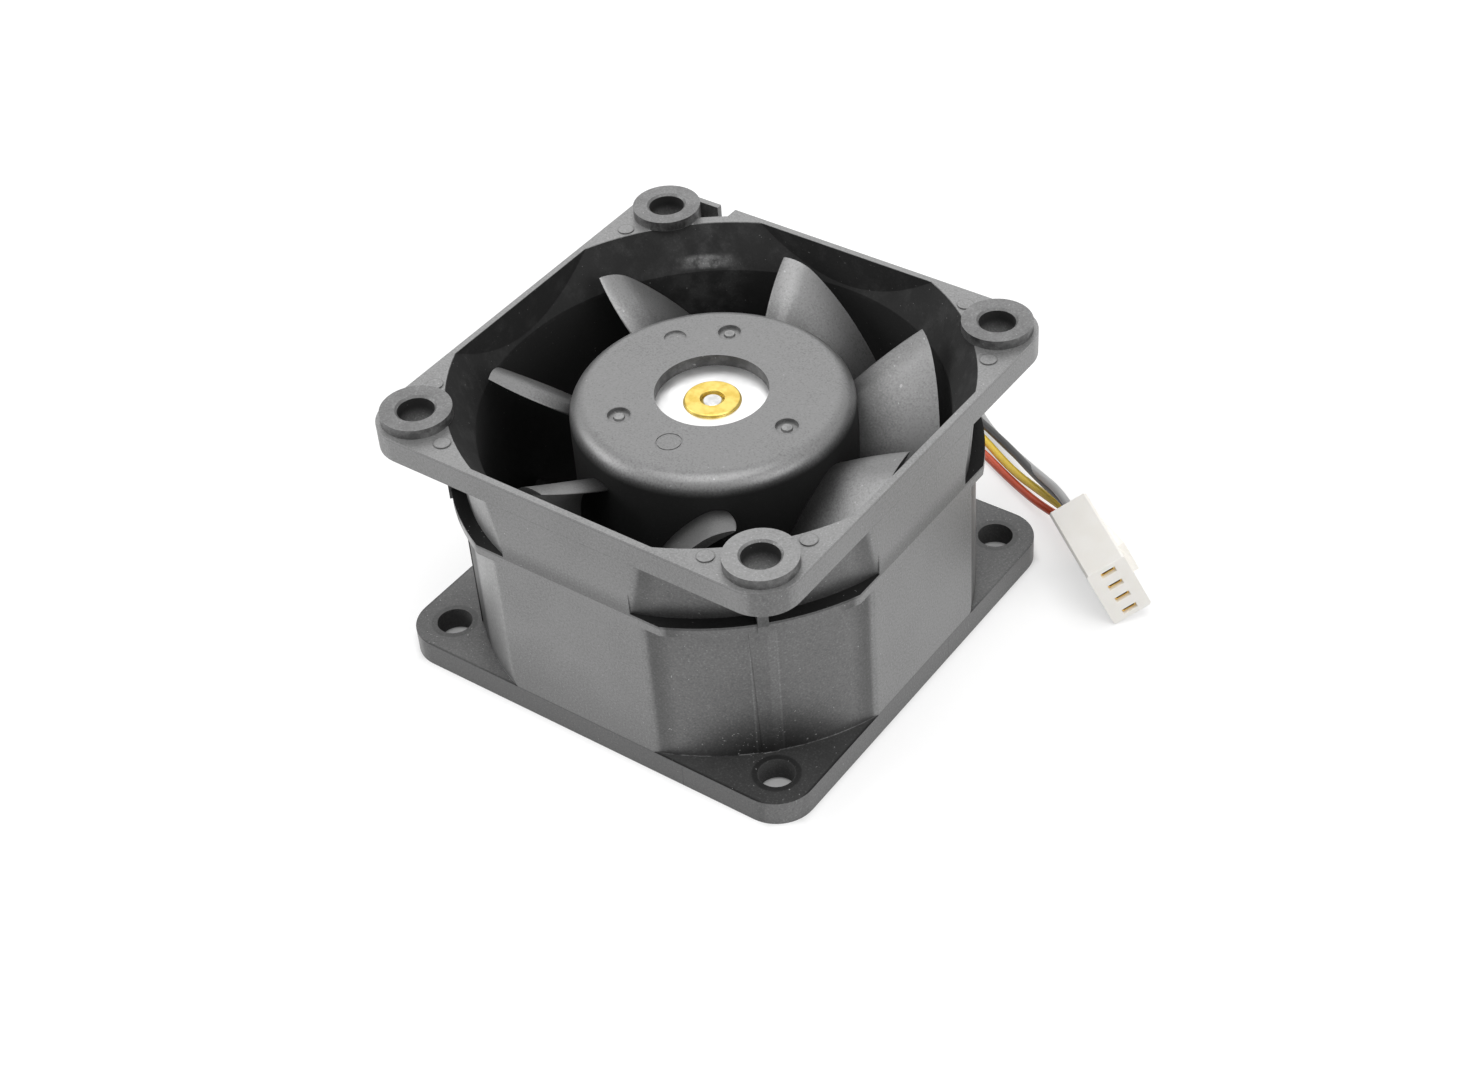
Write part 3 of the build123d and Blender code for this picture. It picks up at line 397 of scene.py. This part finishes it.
framePlastic = mouldedPlastic("framePlastic", {
    # tones and heights
    "side": 0.06, "lowSide": 0.052, "panel": 0.07, "top": 0.105, "lowTop": 0.05, "inner": 0.006,
    "lowFlange": 3.4, "underSeam": 33.3, "highSeam": 36.4, "hair": 0.1, "faceSpan": (29.6, 29.9),
    "topwardSpan": (0.6, 0.9), "topRise": (30.0, 34.0),
    # corner panels
    "footRise": (3.4, 12.0), "footSpan": (1.0, 12.0), "footShade": 0.9, "soleRise": (3.5, 5.0),
    "soleShade": 0.5, "neckRise": (25.4, 28.4), "neckFoot": 25.05, "neckShade": 0.5, "ledgeTop": 25.4,
    "ledgeHalf": 0.3, "ledgeShade": 0.96, "ribLine": (1.6, 0.16), "sheerLine": (1.0, 0.75), "sheerShare": 0.5,
    "ribTop": 24.0, "ribGlint": 0.05, "ribFootShade": 0.8, "marginSpan": (28.5, 29.5), "marginShade": 0.5,
    "litSpan": (5.5, 7.5), "litRise": (4.0, 20.0), "stripLight": 0.08, "unlitSpan": (5.5, 7.0), "unlitShade": 0.6,
    # seams, grime, bosses and the low flange
    "seamHalf": 0.1, "flangeHalf": 0.08, "seamShade": 0.8, "wornPatch": (0.8, 2.0, 0.35, 0.6), "footHighlight": 3.5,
    "footHighlightLift": 0.18, "nearShadeSpan": (36.0, 44.0), "nearShadeDepth": 0.3, "farBossFrom": 37.7, "farBossShade": 0.45,
    "farBossPatch": (0.35, 3.0, 0.25, 0.6), "bossFoot": 36.75, "steepSpan": (0.2, 0.6), "bossWay": 3.0,
    "bossShade": 0.75, "bossWorn": 0.1, "bossPatch": (0.9, 3.0, 0.4, 0.62), "stepXLine": (14.7, 0.12),
    "stepYLine": (5.3, 0.12), "stepFace": 29.9, "stepTop": 3.1, "stepShade": 0.6,
    # screw holes and round marks
    "holeSpot": 25.0, "holeRadius": 2.28, "ringLine": (2.63, 0.5), "ringFoot": 2.6, "ringShade": 0.7,
    "lowBoreTop": 3.45, "boreRise": (33.9, 36.7), "boreFoot": 0.3, "boreTop": 0.006, "lowBore": 0.17,
    "pipLong": 27.3, "pipShort": 19.1, "pipLine": (1.05, 0.16), "pipFoot": 36.5, "pipShade": 0.6,
    # duct and bell
    "ductWall": 30.1, "bellStart": 31.2, "bellSlope": 0.36, "flatWall": 29.6, "bellTop": 36.6, "glowX": -18.1,
    "glowY": 23.6, "glowLine": (32.3, 1.0), "glowSpan": (0.5, 4.5), "glowPatch": (0.7, 3.0, 0.25, 0.6),
    "haloSpan": (0.5, 8.0), "haloPatch": (0.5, 3.0, 0.35, 0.7), "haloShare": 0.2, "bellHighlight": 0.14,
    "smearPatch": (0.4, 4.0, 0.45, 0.72, 0.65), "smearFoot": -0.5, "bellSmear": 0.012,
    # sheen
    "panelSheen": 0.5, "faceSheen": 0.92, "lowSheen": 0.48, "litSheen": 0.35, "lowerRise": (3.4, 3.7),
    "unlitDull": 0.7, "marginDull": 0.3, "footDull": 0.92, "nearShadeDull": 0.95, "farBossDull": 0.4,
    "frontRise": (3.0, 16.0), "frontY": -29.0, "frontDull": 0.35, "sheenGrain": 0.9,
    # grain
    "cloudPerMm": 0.12, "cloudSwing": 0.2, "mottlePerMm": 2.6, "mottleSwing": 0.5, "grainPerMm": 4.2,
    "grainSwing": 0.7, "fleckPerMm": 4.2, "fleckLift": 0.4, "dustPerMm": 2.9, "dustMore": 0.07,
    "dustTone": 0.25, "roughSwing": 0.1, "grainDepthMm": 0.02,
}, housingTone)
impellerPlastic = mouldedPlastic("impellerPlastic", {
    # hub and cap
    "hubWay": 17.65, "wall": 0.008, "cap": 0.06, "capRise": (31.5, 33.0), "rimLine": (33.2, 1.0), "rimGlint": 0.1,
    "windowWay": 7.25, "windowFoot": 31.5, "steepSpan": (0.3, 0.7), "windowShade": 0.9, "windowWorn": 0.4,
    "windowPatch": (0.9, 4.0, 0.4, 0.7), "windowDull": 0.85, "pitLine": (1.4, 0.3), "pitShade": 0.5,
    "pitSpan": (0.4, 1.2), "pitPatch": (1.2, 2.0, 0.35, 0.6), "pitFloor": 0.09,
    # blades
    "root": 0.007, "blade": 0.08, "rootSpan": (17.65, 24.0), "rootShare": 0.12, "rootDull": 0.7,
    "bladeRise": (18.5, 31.0),
    # grain
    "cloudPerMm": 0.16, "cloudSwing": 0.12, "mottlePerMm": 2.8, "mottleSwing": 0.4, "grainPerMm": 4.2,
    "grainSwing": 0.6, "fleckPerMm": 3.4, "fleckLift": 0.45, "dustPerMm": 1.5, "dustMore": 0.0,
    "dustTone": 0.15, "roughSwing": 0.12, "sheenGrain": 1.1, "grainDepthMm": 0.015,
}, impellerTone)
brass = turnedMetal("brass", {
    "light": rgb(0.76, 0.59, 0.17), "dark": rgb(0.64, 0.46, 0.10), "rough": 0.36, "ringsPerMm": 14.0,
    "stainPerMm": 0.9, "ringDepthMm": 0.01,
})
bearingSteel = turnedMetal("bearingSteel", {
    "light": grey(0.78), "dark": grey(0.66), "rough": 0.16, "ringsPerMm": 30.0, "stainPerMm": 0.5,
    "ringDepthMm": 0.002,
})
shieldSteel = turnedMetal("shieldSteel", {
    "light": grey(0.72), "dark": grey(0.6), "rough": 0.3, "ringsPerMm": 16.0, "stainPerMm": 0.7,
    "ringDepthMm": 0.006,
})
yokeSteel = turnedMetal("yokeSteel", {
    "light": grey(0.84), "dark": grey(0.76), "rough": 0.34, "ringsPerMm": 5.0, "stainPerMm": 0.3,
    "ringDepthMm": 0.004,
})
shaftSteel = turnedMetal("shaftSteel", {
    "light": grey(0.64), "dark": grey(0.52), "rough": 0.3, "ringsPerMm": 22.0, "stainPerMm": 1.3,
    "ringDepthMm": 0.006,
})
springSteel = turnedMetal("springSteel", {
    "light": grey(0.6), "dark": grey(0.5), "rough": 0.28, "ringsPerMm": 9.0, "stainPerMm": 1.0,
    "ringDepthMm": 0.004,
})
cageNylon = plainSkin("cageNylon", {
    "light": rgb(0.80, 0.76, 0.60), "dark": rgb(0.72, 0.67, 0.50), "mottlePerMm": 1.2, "grainPerMm": 9.0,
    "rough": 0.5, "grainDepthMm": 0.004,
})
insulatorNylon = plainSkin("insulatorNylon", {
    "light": rgb(0.85, 0.83, 0.74), "dark": rgb(0.79, 0.76, 0.66), "mottlePerMm": 0.5, "grainPerMm": 7.0,
    "rough": 0.5, "grainDepthMm": 0.006,
})
solderTin = plainSkin("solderTin", {
    "light": grey(0.74), "dark": grey(0.6), "mottlePerMm": 2.5, "grainPerMm": 8.0, "rough": 0.3,
    "grainDepthMm": 0.01, "metal": 1.0,
})
chipEpoxy = plainSkin("chipEpoxy", {
    "light": grey(0.035), "dark": grey(0.022), "mottlePerMm": 1.0, "grainPerMm": 11.0, "rough": 0.55,
    "grainDepthMm": 0.01,
})
magnetFerrite = plainSkin("magnetFerrite", {
    "light": grey(0.075), "dark": grey(0.05), "mottlePerMm": 0.6, "grainPerMm": 9.0, "rough": 0.7,
    "grainDepthMm": 0.02,
})
capacitorCan = plainSkin("capacitorCan", {
    "light": grey(0.8), "dark": grey(0.7), "mottlePerMm": 1.3, "grainPerMm": 5.0, "rough": 0.25,
    "grainDepthMm": 0.004, "metal": 1.0,
})
connectorNylon = plainSkin("connectorNylon", {
    "light": rgb(0.98, 0.955, 0.91), "dark": rgb(0.955, 0.925, 0.87), "mottlePerMm": 0.35, "grainPerMm": 6.0,
    "rough": 0.38, "grainDepthMm": 0.006,
    "fixed": {"Subsurface Weight": 0.05, "Subsurface Radius": (1.0, 0.9, 0.8), "Subsurface Scale": 0.0012},
})
contactGold = plainSkin("contactGold", {
    "light": rgb(0.95, 0.72, 0.30), "dark": rgb(0.85, 0.56, 0.18), "mottlePerMm": 1.5, "grainPerMm": 8.0,
    "rough": 0.24, "grainDepthMm": 0.004, "metal": 1.0,
})


# Core: the sheets it is stacked from show as fine dark lines along the height
def laminatedSteel(name, settings):
    f = Finish(name)
    lines = f.ramp(f.wave(f.z, settings["sheetMm"]), *settings["lineSpan"])
    colour = f.mix(lines, settings["light"], settings["dark"])
    colour = f.mix(f.patches(*settings["stainPatch"]) * settings["stainShare"], colour, settings["stain"])
    rough = settings["rough"] + lines * settings["lineRough"]
    relief = f.bump(1 - lines, settings["lineDepthMm"])
    return f.shade({"Metallic": 0.9}, BaseColor=colour, Roughness=rough, Normal=relief)


# Coils: enamelled copper, with the single turns as rounded ridges along the pole and the troughs between them
# painted darker as shade
def woundCopper(name, settings):
    f = Finish(name)
    along = f.z + f.noise(settings["wanderPerMm"], 1.0) * settings["wanderMm"]
    ridges = f.wave(along, settings["turnMm"]) * 0.5 + 0.5
    colour = f.mix(ridges, settings["dark"], settings["light"])
    rough = settings["rough"] - ridges * settings["ridgeGloss"]
    relief = f.bump(ridges, settings["ridgeDepthMm"])
    return f.shade({"Metallic": 0.85}, BaseColor=colour, Roughness=rough, Normal=relief)


# Board: green solder mask over tracks that show as paler bands
def solderMask(name, settings):
    f = Finish(name)
    bands = (f.radius() * settings["ringTracks"]).sine() * (f.x * settings["crossTracks"]).sine()
    tracks = f.ramp(bands.size(), *settings["trackSpan"])
    colour = f.mix(tracks, settings["dark"], settings["light"])
    rough = settings["rough"] + f.noise(1.0, 3.0) * settings["mottleRough"]
    return f.shade({}, BaseColor=colour, Roughness=rough, Normal=f.bump(tracks, settings["trackDepthMm"]))


def mottledCeramic(name, settings):
    f = Finish(name)
    mottle = f.noise(settings["mottlePerMm"], 2.0)
    colour = f.mix(mottle, settings["dark"], settings["light"])
    return f.shade({}, BaseColor=colour, Roughness=settings["rough"] + mottle * settings["mottleRough"])


# Lead insulation: smooth vinyl with faint dust and slow unevenness along the wire
vinylSkin = {
    "dustPatch": (2.2, 3.0, 0.62, 0.8), "dustShare": 0.12, "dust": grey(0.6), "slowPerMm": 0.4, "rough": 0.32,
    "dustRough": 0.2, "slowSwing": 0.1, "slowDepthMm": 0.04,
}


def leadVinyl(name, light, dark):
    f = Finish(name)
    dust = f.patches(*vinylSkin["dustPatch"])
    slow = f.noise(vinylSkin["slowPerMm"], 2.0)
    colour = f.mix(dust * vinylSkin["dustShare"], f.mix(slow, light, dark), vinylSkin["dust"])
    rough = vinylSkin["rough"] + dust * vinylSkin["dustRough"] + swing(slow, vinylSkin["slowSwing"])
    relief = f.bump(slow, vinylSkin["slowDepthMm"])
    return f.shade({"IOR": 1.5}, BaseColor=colour, Roughness=rough, Normal=relief)


coreSteel = laminatedSteel("coreSteel", {
    "light": grey(0.42), "dark": grey(0.14), "sheetMm": 0.5, "lineSpan": (0.75, 1.0), "lineDepthMm": 0.05,
    "stain": rgb(0.36, 0.33, 0.30), "stainPatch": (0.7, 3.0, 0.4, 0.8), "stainShare": 0.4, "rough": 0.36,
    "lineRough": 0.2,
})
copperWire = woundCopper("copperWire", {
    "light": rgb(0.80, 0.38, 0.16), "dark": rgb(0.36, 0.13, 0.05), "turnMm": 0.28, "wanderPerMm": 0.3,
    "wanderMm": 0.2, "rough": 0.3, "ridgeGloss": 0.08, "ridgeDepthMm": 0.12,
})
boardLaminate = solderMask("boardLaminate", {
    "light": rgb(0.06, 0.33, 0.13), "dark": rgb(0.03, 0.19, 0.08), "ringTracks": 2.2, "crossTracks": 1.7,
    "trackSpan": (0.45, 0.5), "trackDepthMm": 0.03, "rough": 0.3, "mottleRough": 0.1,
})
resistorCeramic = mottledCeramic("resistorCeramic", {
    "light": grey(0.1), "dark": grey(0.03), "mottlePerMm": 4.0, "rough": 0.35, "mottleRough": 0.2,
})
leadFinish = {
    "grey": leadVinyl("greyVinyl", grey(0.42), grey(0.36)),
    "black": leadVinyl("blackVinyl", grey(0.03), grey(0.02)),
    "yellow": leadVinyl("yellowVinyl", rgb(0.98, 0.70, 0.07), rgb(0.90, 0.61, 0.05)),
    "red": leadVinyl("redVinyl", rgb(0.68, 0.09, 0.025), rgb(0.58, 0.07, 0.02)),
}
finishOfSlot = {
    "frame_plastic": framePlastic, "impeller_plastic": impellerPlastic, "brass": brass,
    "bearing_steel": bearingSteel, "shield_steel": shieldSteel, "cage_nylon": cageNylon,
    "core_steel": coreSteel, "insulator_nylon": insulatorNylon, "copper_wire": copperWire,
    "board_laminate": boardLaminate, "solder": solderTin, "chip_epoxy": chipEpoxy,
    "capacitor_can": capacitorCan, "resistor_ceramic": resistorCeramic, "yoke_steel": yokeSteel,
    "magnet_rubber": magnetFerrite, "shaft_steel": shaftSteel, "spring_steel": springSteel,
    "grey_insulation": leadFinish["grey"], "black_insulation": leadFinish["black"],
    "yellow_insulation": leadFinish["yellow"], "red_insulation": leadFinish["red"],
    "connector_nylon": connectorNylon, "contact_gold": contactGold,
}
slotOf = {part["node"]: part["material_slot"] for part in frame["record"]["subparts"]}
for name, node in nodes.items():
    node.data.materials.clear()
    node.data.materials.append(finishOfSlot[slotOf[name]].material)
print("stage: finishes laid on", len(nodes), "nodes")


# Leads: each is one smooth curve through the channel's end, round behind the housing, to its way
leadSettings = {"diameterMm": 1.1, "stepsPerPart": 16, "roundness": 6}
leadRoutes = {
    "grey": [
        (-18.12, 27.64, 1.1), (-20.8, 32.1, 0.75), (-22.0, 42.2, 0.6), (-15.2, 49.8, 0.6), (-5.8, 53.2, 0.6),
        (4.4, 51.9, 0.6), (11.0, 46.6, 0.6), (16.9, 43.1, 1.3), (24.2, 37.4, 4.6),
        (31.126, 30.880, 9.236), (33.920, 28.609, 9.236),
    ],
    "black": [
        (-17.04, 28.27, 1.1), (-19.6, 32.6, 0.75), (-20.2, 41.4, 0.6), (-13.8, 47.8, 0.6), (-5.0, 50.6, 0.6),
        (2.9, 50.2, 0.8), (11.5, 45.3, 1.9), (17.4, 42.0, 2.65), (25.0, 36.4, 4.6),
        (31.780, 31.684, 6.917), (34.574, 29.414, 6.917),
    ],
    "yellow": [
        (-15.96, 28.89, 1.1), (-18.4, 33.1, 0.75), (-18.4, 40.6, 0.6), (-12.4, 45.9, 0.6), (-4.2, 48.0, 0.6),
        (3.4, 48.0, 0.6), (10.4, 44.9, 0.8), (18.9, 39.4, 1.6), (24.9, 36.2, 3.0),
        (32.434, 32.490, 4.599), (35.228, 30.219, 4.599),
    ],
    "red": [
        (-14.88, 29.52, 1.1), (-17.2, 33.5, 0.75), (-16.6, 39.8, 0.6), (-11.0, 43.9, 0.6), (-3.6, 45.2, 0.6),
        (4.2, 44.6, 0.6), (11.7, 42.4, 0.6), (19.6, 38.2, 0.8), (27.1, 34.2, 2.1),
        (33.088, 33.294, 2.280), (35.882, 31.024, 2.280),
    ],
}
for colour, route in leadRoutes.items():
    curve = bpy.data.curves.new(colour + "LeadLine", "CURVE")
    curve.dimensions = "3D"
    curve.resolution_u = leadSettings["stepsPerPart"]
    curve.bevel_depth = leadSettings["diameterMm"] / 2 * mm
    curve.bevel_resolution = leadSettings["roundness"]
    curve.use_fill_caps = True
    spline = curve.splines.new("NURBS")
    spline.points.add(len(route) - 1)
    spline.points.foreach_set("co", np.c_[np.array(route) * mm, np.ones(len(route))].ravel())
    spline.order_u = 3
    spline.use_endpoint_u = True
    curve.materials.append(leadFinish[colour].material)
    lead = bpy.data.objects.new(colour + "Lead", curve)
    scene.collection.objects.link(lead)
    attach(lead, "stator")
    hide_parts(colour + "_lead")
print("stage: leads laid")


# Edges: a copy of a CAD node, its flat triangles joined into faces, with rounded edges
edgeSettings = {"joinMm": 0.002, "flatAngle": 0.6, "sharpAngle": 28.0, "segments": 2}


def roundedCopy(nodeName, pieceName, widthMm):
    sharp = radians(edgeSettings["sharpAngle"])
    body = bmesh.new()
    body.from_mesh(nodes[nodeName].data)
    bmesh.ops.remove_doubles(body, verts=body.verts, dist=edgeSettings["joinMm"] * mm)
    bmesh.ops.dissolve_limit(
        body, angle_limit=radians(edgeSettings["flatAngle"]), verts=body.verts, edges=body.edges,
        use_dissolve_boundaries=False,
    )
    mesh = bpy.data.meshes.new(pieceName)
    body.to_mesh(mesh)
    body.free()
    mesh.materials.clear()
    mesh.materials.append(nodes[nodeName].data.materials[0])
    piece = bpy.data.objects.new(pieceName, mesh)
    scene.collection.objects.link(piece)
    mesh.shade_smooth()
    mesh.set_sharp_from_angle(angle=sharp)
    if not widthMm:
        return piece
    bevel = piece.modifiers.new("roundedEdges", "BEVEL")
    bevel.width = widthMm * mm
    bevel.segments = edgeSettings["segments"]
    bevel.limit_method = "ANGLE"
    bevel.angle_limit = sharp
    bevel.use_clamp_overlap = True
    flatter = piece.modifiers.new("flatterShading", "WEIGHTED_NORMAL")
    flatter.keep_sharp = True
    return piece


def pointsOf(mesh):  # in millimetres
    points = np.empty(len(mesh.vertices) * 3)
    mesh.vertices.foreach_get("co", points)
    return points.reshape(-1, 3) / mm


def movePoints(mesh, points):
    mesh.vertices.foreach_set("co", (points * mm).ravel())


# The corner ribs stand less proud: r' = panel + (r - panel) * share for the points on their fronts
ribSettings = {
    "panelMm": 31.8, "frontMm": (31.85, 32.6), "halfMm": 1.75, "lowMm": 3.3, "highMm": 24.1, "share": 0.2,
}


def lowerRibs(mesh):
    points = pointsOf(mesh)
    x, y, z = np.abs(points[:, 0]), np.abs(points[:, 1]), points[:, 2]
    reach = np.hypot(x, y)
    nearest, farthest = ribSettings["frontMm"]
    front = (reach > nearest) & (reach < farthest) & (np.abs(x - y) * acrossShare < ribSettings["halfMm"])
    front &= (z > ribSettings["lowMm"]) & (z < ribSettings["highMm"])
    lowered = ribSettings["panelMm"] + (reach - ribSettings["panelMm"]) * ribSettings["share"]
    points[front, :2] *= (lowered / reach)[front, None]
    movePoints(mesh, points)
    print("stage: rib points moved", int(front.sum()))


# The pits in the cap open wider: p' = middle + (p - middle) * share for the points near a middle
def widenPits(mesh):
    points = pointsOf(mesh)
    for middle in pitMiddles:
        away = points[:, :2] - middle
        near = (np.hypot(away[:, 0], away[:, 1]) < pits["reachMm"]) & (points[:, 2] > pits["lowMm"])
        points[near, :2] = middle + away[near] * pits["share"]
        print("stage: pit points moved", int(near.sum()))
    movePoints(mesh, points)


def standFor(piece, body, nodeName):
    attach(piece, body)
    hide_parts(nodeName)
    return piece


bodyOf = {part: body for body, parts in frame["record"]["behaviour"]["bodies"].items() for part in parts}
edgeWidthMm = {  # how far each kind of piece is rounded off at its edges
    "frame_housing": 0.22, "impeller": 0.14, "connector_housing": 0.12, "rotor_yoke": 0.1, "shaft_bush": 0.06,
    "shaft": 0.04, "bearing_tube": 0.08, "upper_bearing_outer_ring": 0.08, "lower_bearing_outer_ring": 0.08,
    "upper_bearing_inner_ring": 0.06, "lower_bearing_inner_ring": 0.06, "stator_core": 0.05,
    "upper_insulator": 0.12, "lower_insulator": 0.12, "coil_windings": 0.05, "circuit_board": 0.06,
    "driver_chip": 0.05, "hall_sensor": 0.08, "board_capacitors": 0.15, "board_resistors": 0.06,
    "rotor_magnet": 0.12, "retaining_clip": 0.05, "thrust_washer": 0.03, "terminal_pins": 0.04,
    "upper_bearing_cage": 0.03, "lower_bearing_cage": 0.03, "upper_bearing_shields": 0.03,
    "lower_bearing_shields": 0.03, "upper_bearing_balls": 0.0, "lower_bearing_balls": 0.0,
    "preload_spring": 0.0, "connector_contacts": 0.02,
}
dressed = {}
for nodeName, widthMm in edgeWidthMm.items():
    words = nodeName.split("_")
    pieceName = words[0] + "".join(word.capitalize() for word in words[1:])
    dressed[nodeName] = standFor(roundedCopy(nodeName, pieceName, widthMm), bodyOf[nodeName], nodeName)
lowerRibs(dressed["frame_housing"].data)
widenPits(dressed["impeller"].data)
print("stage: edges rounded")


# Table: a pale sheet that keeps a soft shadow, white to the camera, with a painted shadow under the housing where
# its glow is turned down
tableSettings = {
    "halfWidth": 3.0, "levelMm": -0.02, "tone": 0.55, "glow": 0.53, "footMm": 30.0, "cornerMm": 57.07,
    "clearSpan": (28.5, 31.0), "footShare": 0.8,
}
half, level = tableSettings["halfWidth"], tableSettings["levelMm"] * mm
tableMesh = bpy.data.meshes.new("table")
tableCorners = [(-half, -half, level), (half, -half, level), (half, half, level), (-half, half, level)]
tableMesh.from_pydata(tableCorners, [], [(0, 1, 2, 3)])
table = bpy.data.objects.new("table", tableMesh)
scene.collection.objects.link(table)
sheet = Finish("tableSheet")
seen = sheet.node("ShaderNodeLightPath", output="Is Camera Ray")
glossy = sheet.node("ShaderNodeLightPath", output="Is Glossy Ray")
matt = sheet.node("ShaderNodeBsdfDiffuse", {}, {"Color": grey(tableSettings["tone"])}, 0)
corner = (sheet.x.size() + sheet.y.size() - tableSettings["cornerMm"]) * acrossShare + tableSettings["footMm"]
reach = sheet.x.size().larger(sheet.y.size()).larger(corner)
clear = sheet.ramp(reach, *tableSettings["clearSpan"])
shine = (seen + glossy).clamped() * tableSettings["glow"] * (1 - (1 - clear) * tableSettings["footShare"])
glow = sheet.node("ShaderNodeEmission", {}, {"Color": grey(1.0), "Strength": shine}, 0)
both = sheet.node("ShaderNodeAddShader", {}, {0: matt, 1: glow}, 0)
sheet.tree.links.new(both.socket, sheet.out.inputs["Surface"])
tableMesh.materials.append(sheet.material)

# Light: an even pale room, white to the camera and in reflections, and soft boxes round it
roomSettings = {"diffuse": 0.4, "seen": 1.0}
world = bpy.data.worlds.new("room")
scene.world = world
world.use_nodes = True
roomTree = world.node_tree
background = roomTree.nodes["Background"]
background.inputs["Color"].default_value = grey(1.0)
path = roomTree.nodes.new("ShaderNodeLightPath")
strength = roomTree.nodes.new("ShaderNodeMix")
strength.inputs[2].default_value = roomSettings["diffuse"]
strength.inputs[3].default_value = roomSettings["seen"]
either = roomTree.nodes.new("ShaderNodeMath")
either.operation = "MAXIMUM"
roomTree.links.new(path.outputs["Is Camera Ray"], either.inputs[0])
roomTree.links.new(path.outputs["Is Glossy Ray"], either.inputs[1])
roomTree.links.new(either.outputs[0], strength.inputs[0])
roomTree.links.new(strength.outputs[0], background.inputs["Strength"])
boxAim = Vector((0.0, 0.0, 0.02))  # all boxes point at the fan's middle
softBoxes = {  # places and sizes in metres
    "keyBox": {"at": (0.1, -0.15, 1.0), "size": 0.7, "watts": 5.0},
    "backBox": {"at": (-0.55, 0.75, 0.75), "size": 0.9, "watts": 1.5},
    "leftBox": {"at": (-0.8, -0.45, 0.5), "size": 0.6, "watts": 3.8},
    "rightBox": {"at": (0.9, -0.1, 0.45), "size": 0.6, "watts": 3.4},
}
for name, box in softBoxes.items():
    lamp = bpy.data.lights.new(name, "AREA")
    lamp.shape = "SQUARE"
    lamp.size = box["size"]
    lamp.energy = box["watts"]
    holder = bpy.data.objects.new(name, lamp)
    holder.location = box["at"]
    holder.rotation_euler = (Vector(box["at"]) - boxAim).to_track_quat("Z", "Y").to_euler()
    scene.collection.objects.link(holder)
scene.view_settings.view_transform = "Standard"
print("stage: table and lights placed")


# Camera: where the photograph was taken from, turned by azimuth, elevation and roll
cameraSettings = {
    "spotMm": (149.10, -185.19, 216.96), "azimuth": 38.633, "elevation": 41.023, "roll": -4.764,
    "lens": 61.06, "sensor": 36.0, "nearest": 0.01,
}
azimuth, elevation, roll = [radians(cameraSettings[key]) for key in ("azimuth", "elevation", "roll")]
back = Vector((sin(azimuth) * cos(elevation), -cos(azimuth) * cos(elevation), sin(elevation)))
right = Vector((0, 0, 1)).cross(back).normalized()
upward = back.cross(right)
rightRolled = cos(roll) * right + sin(roll) * upward
upRolled = cos(roll) * upward - sin(roll) * right
lens = bpy.data.cameras.new("camera")
lens.lens = cameraSettings["lens"]
lens.sensor_width = cameraSettings["sensor"]
lens.clip_start = cameraSettings["nearest"]
camera = bpy.data.objects.new("camera", lens)
turn = Matrix((rightRolled, upRolled, back)).transposed().to_4x4()
camera.matrix_world = Matrix.Translation(Vector(cameraSettings["spotMm"]) * mm) @ turn
scene.collection.objects.link(camera)
scene.camera = camera
print("stage: camera set")

bpy.context.view_layer.update()
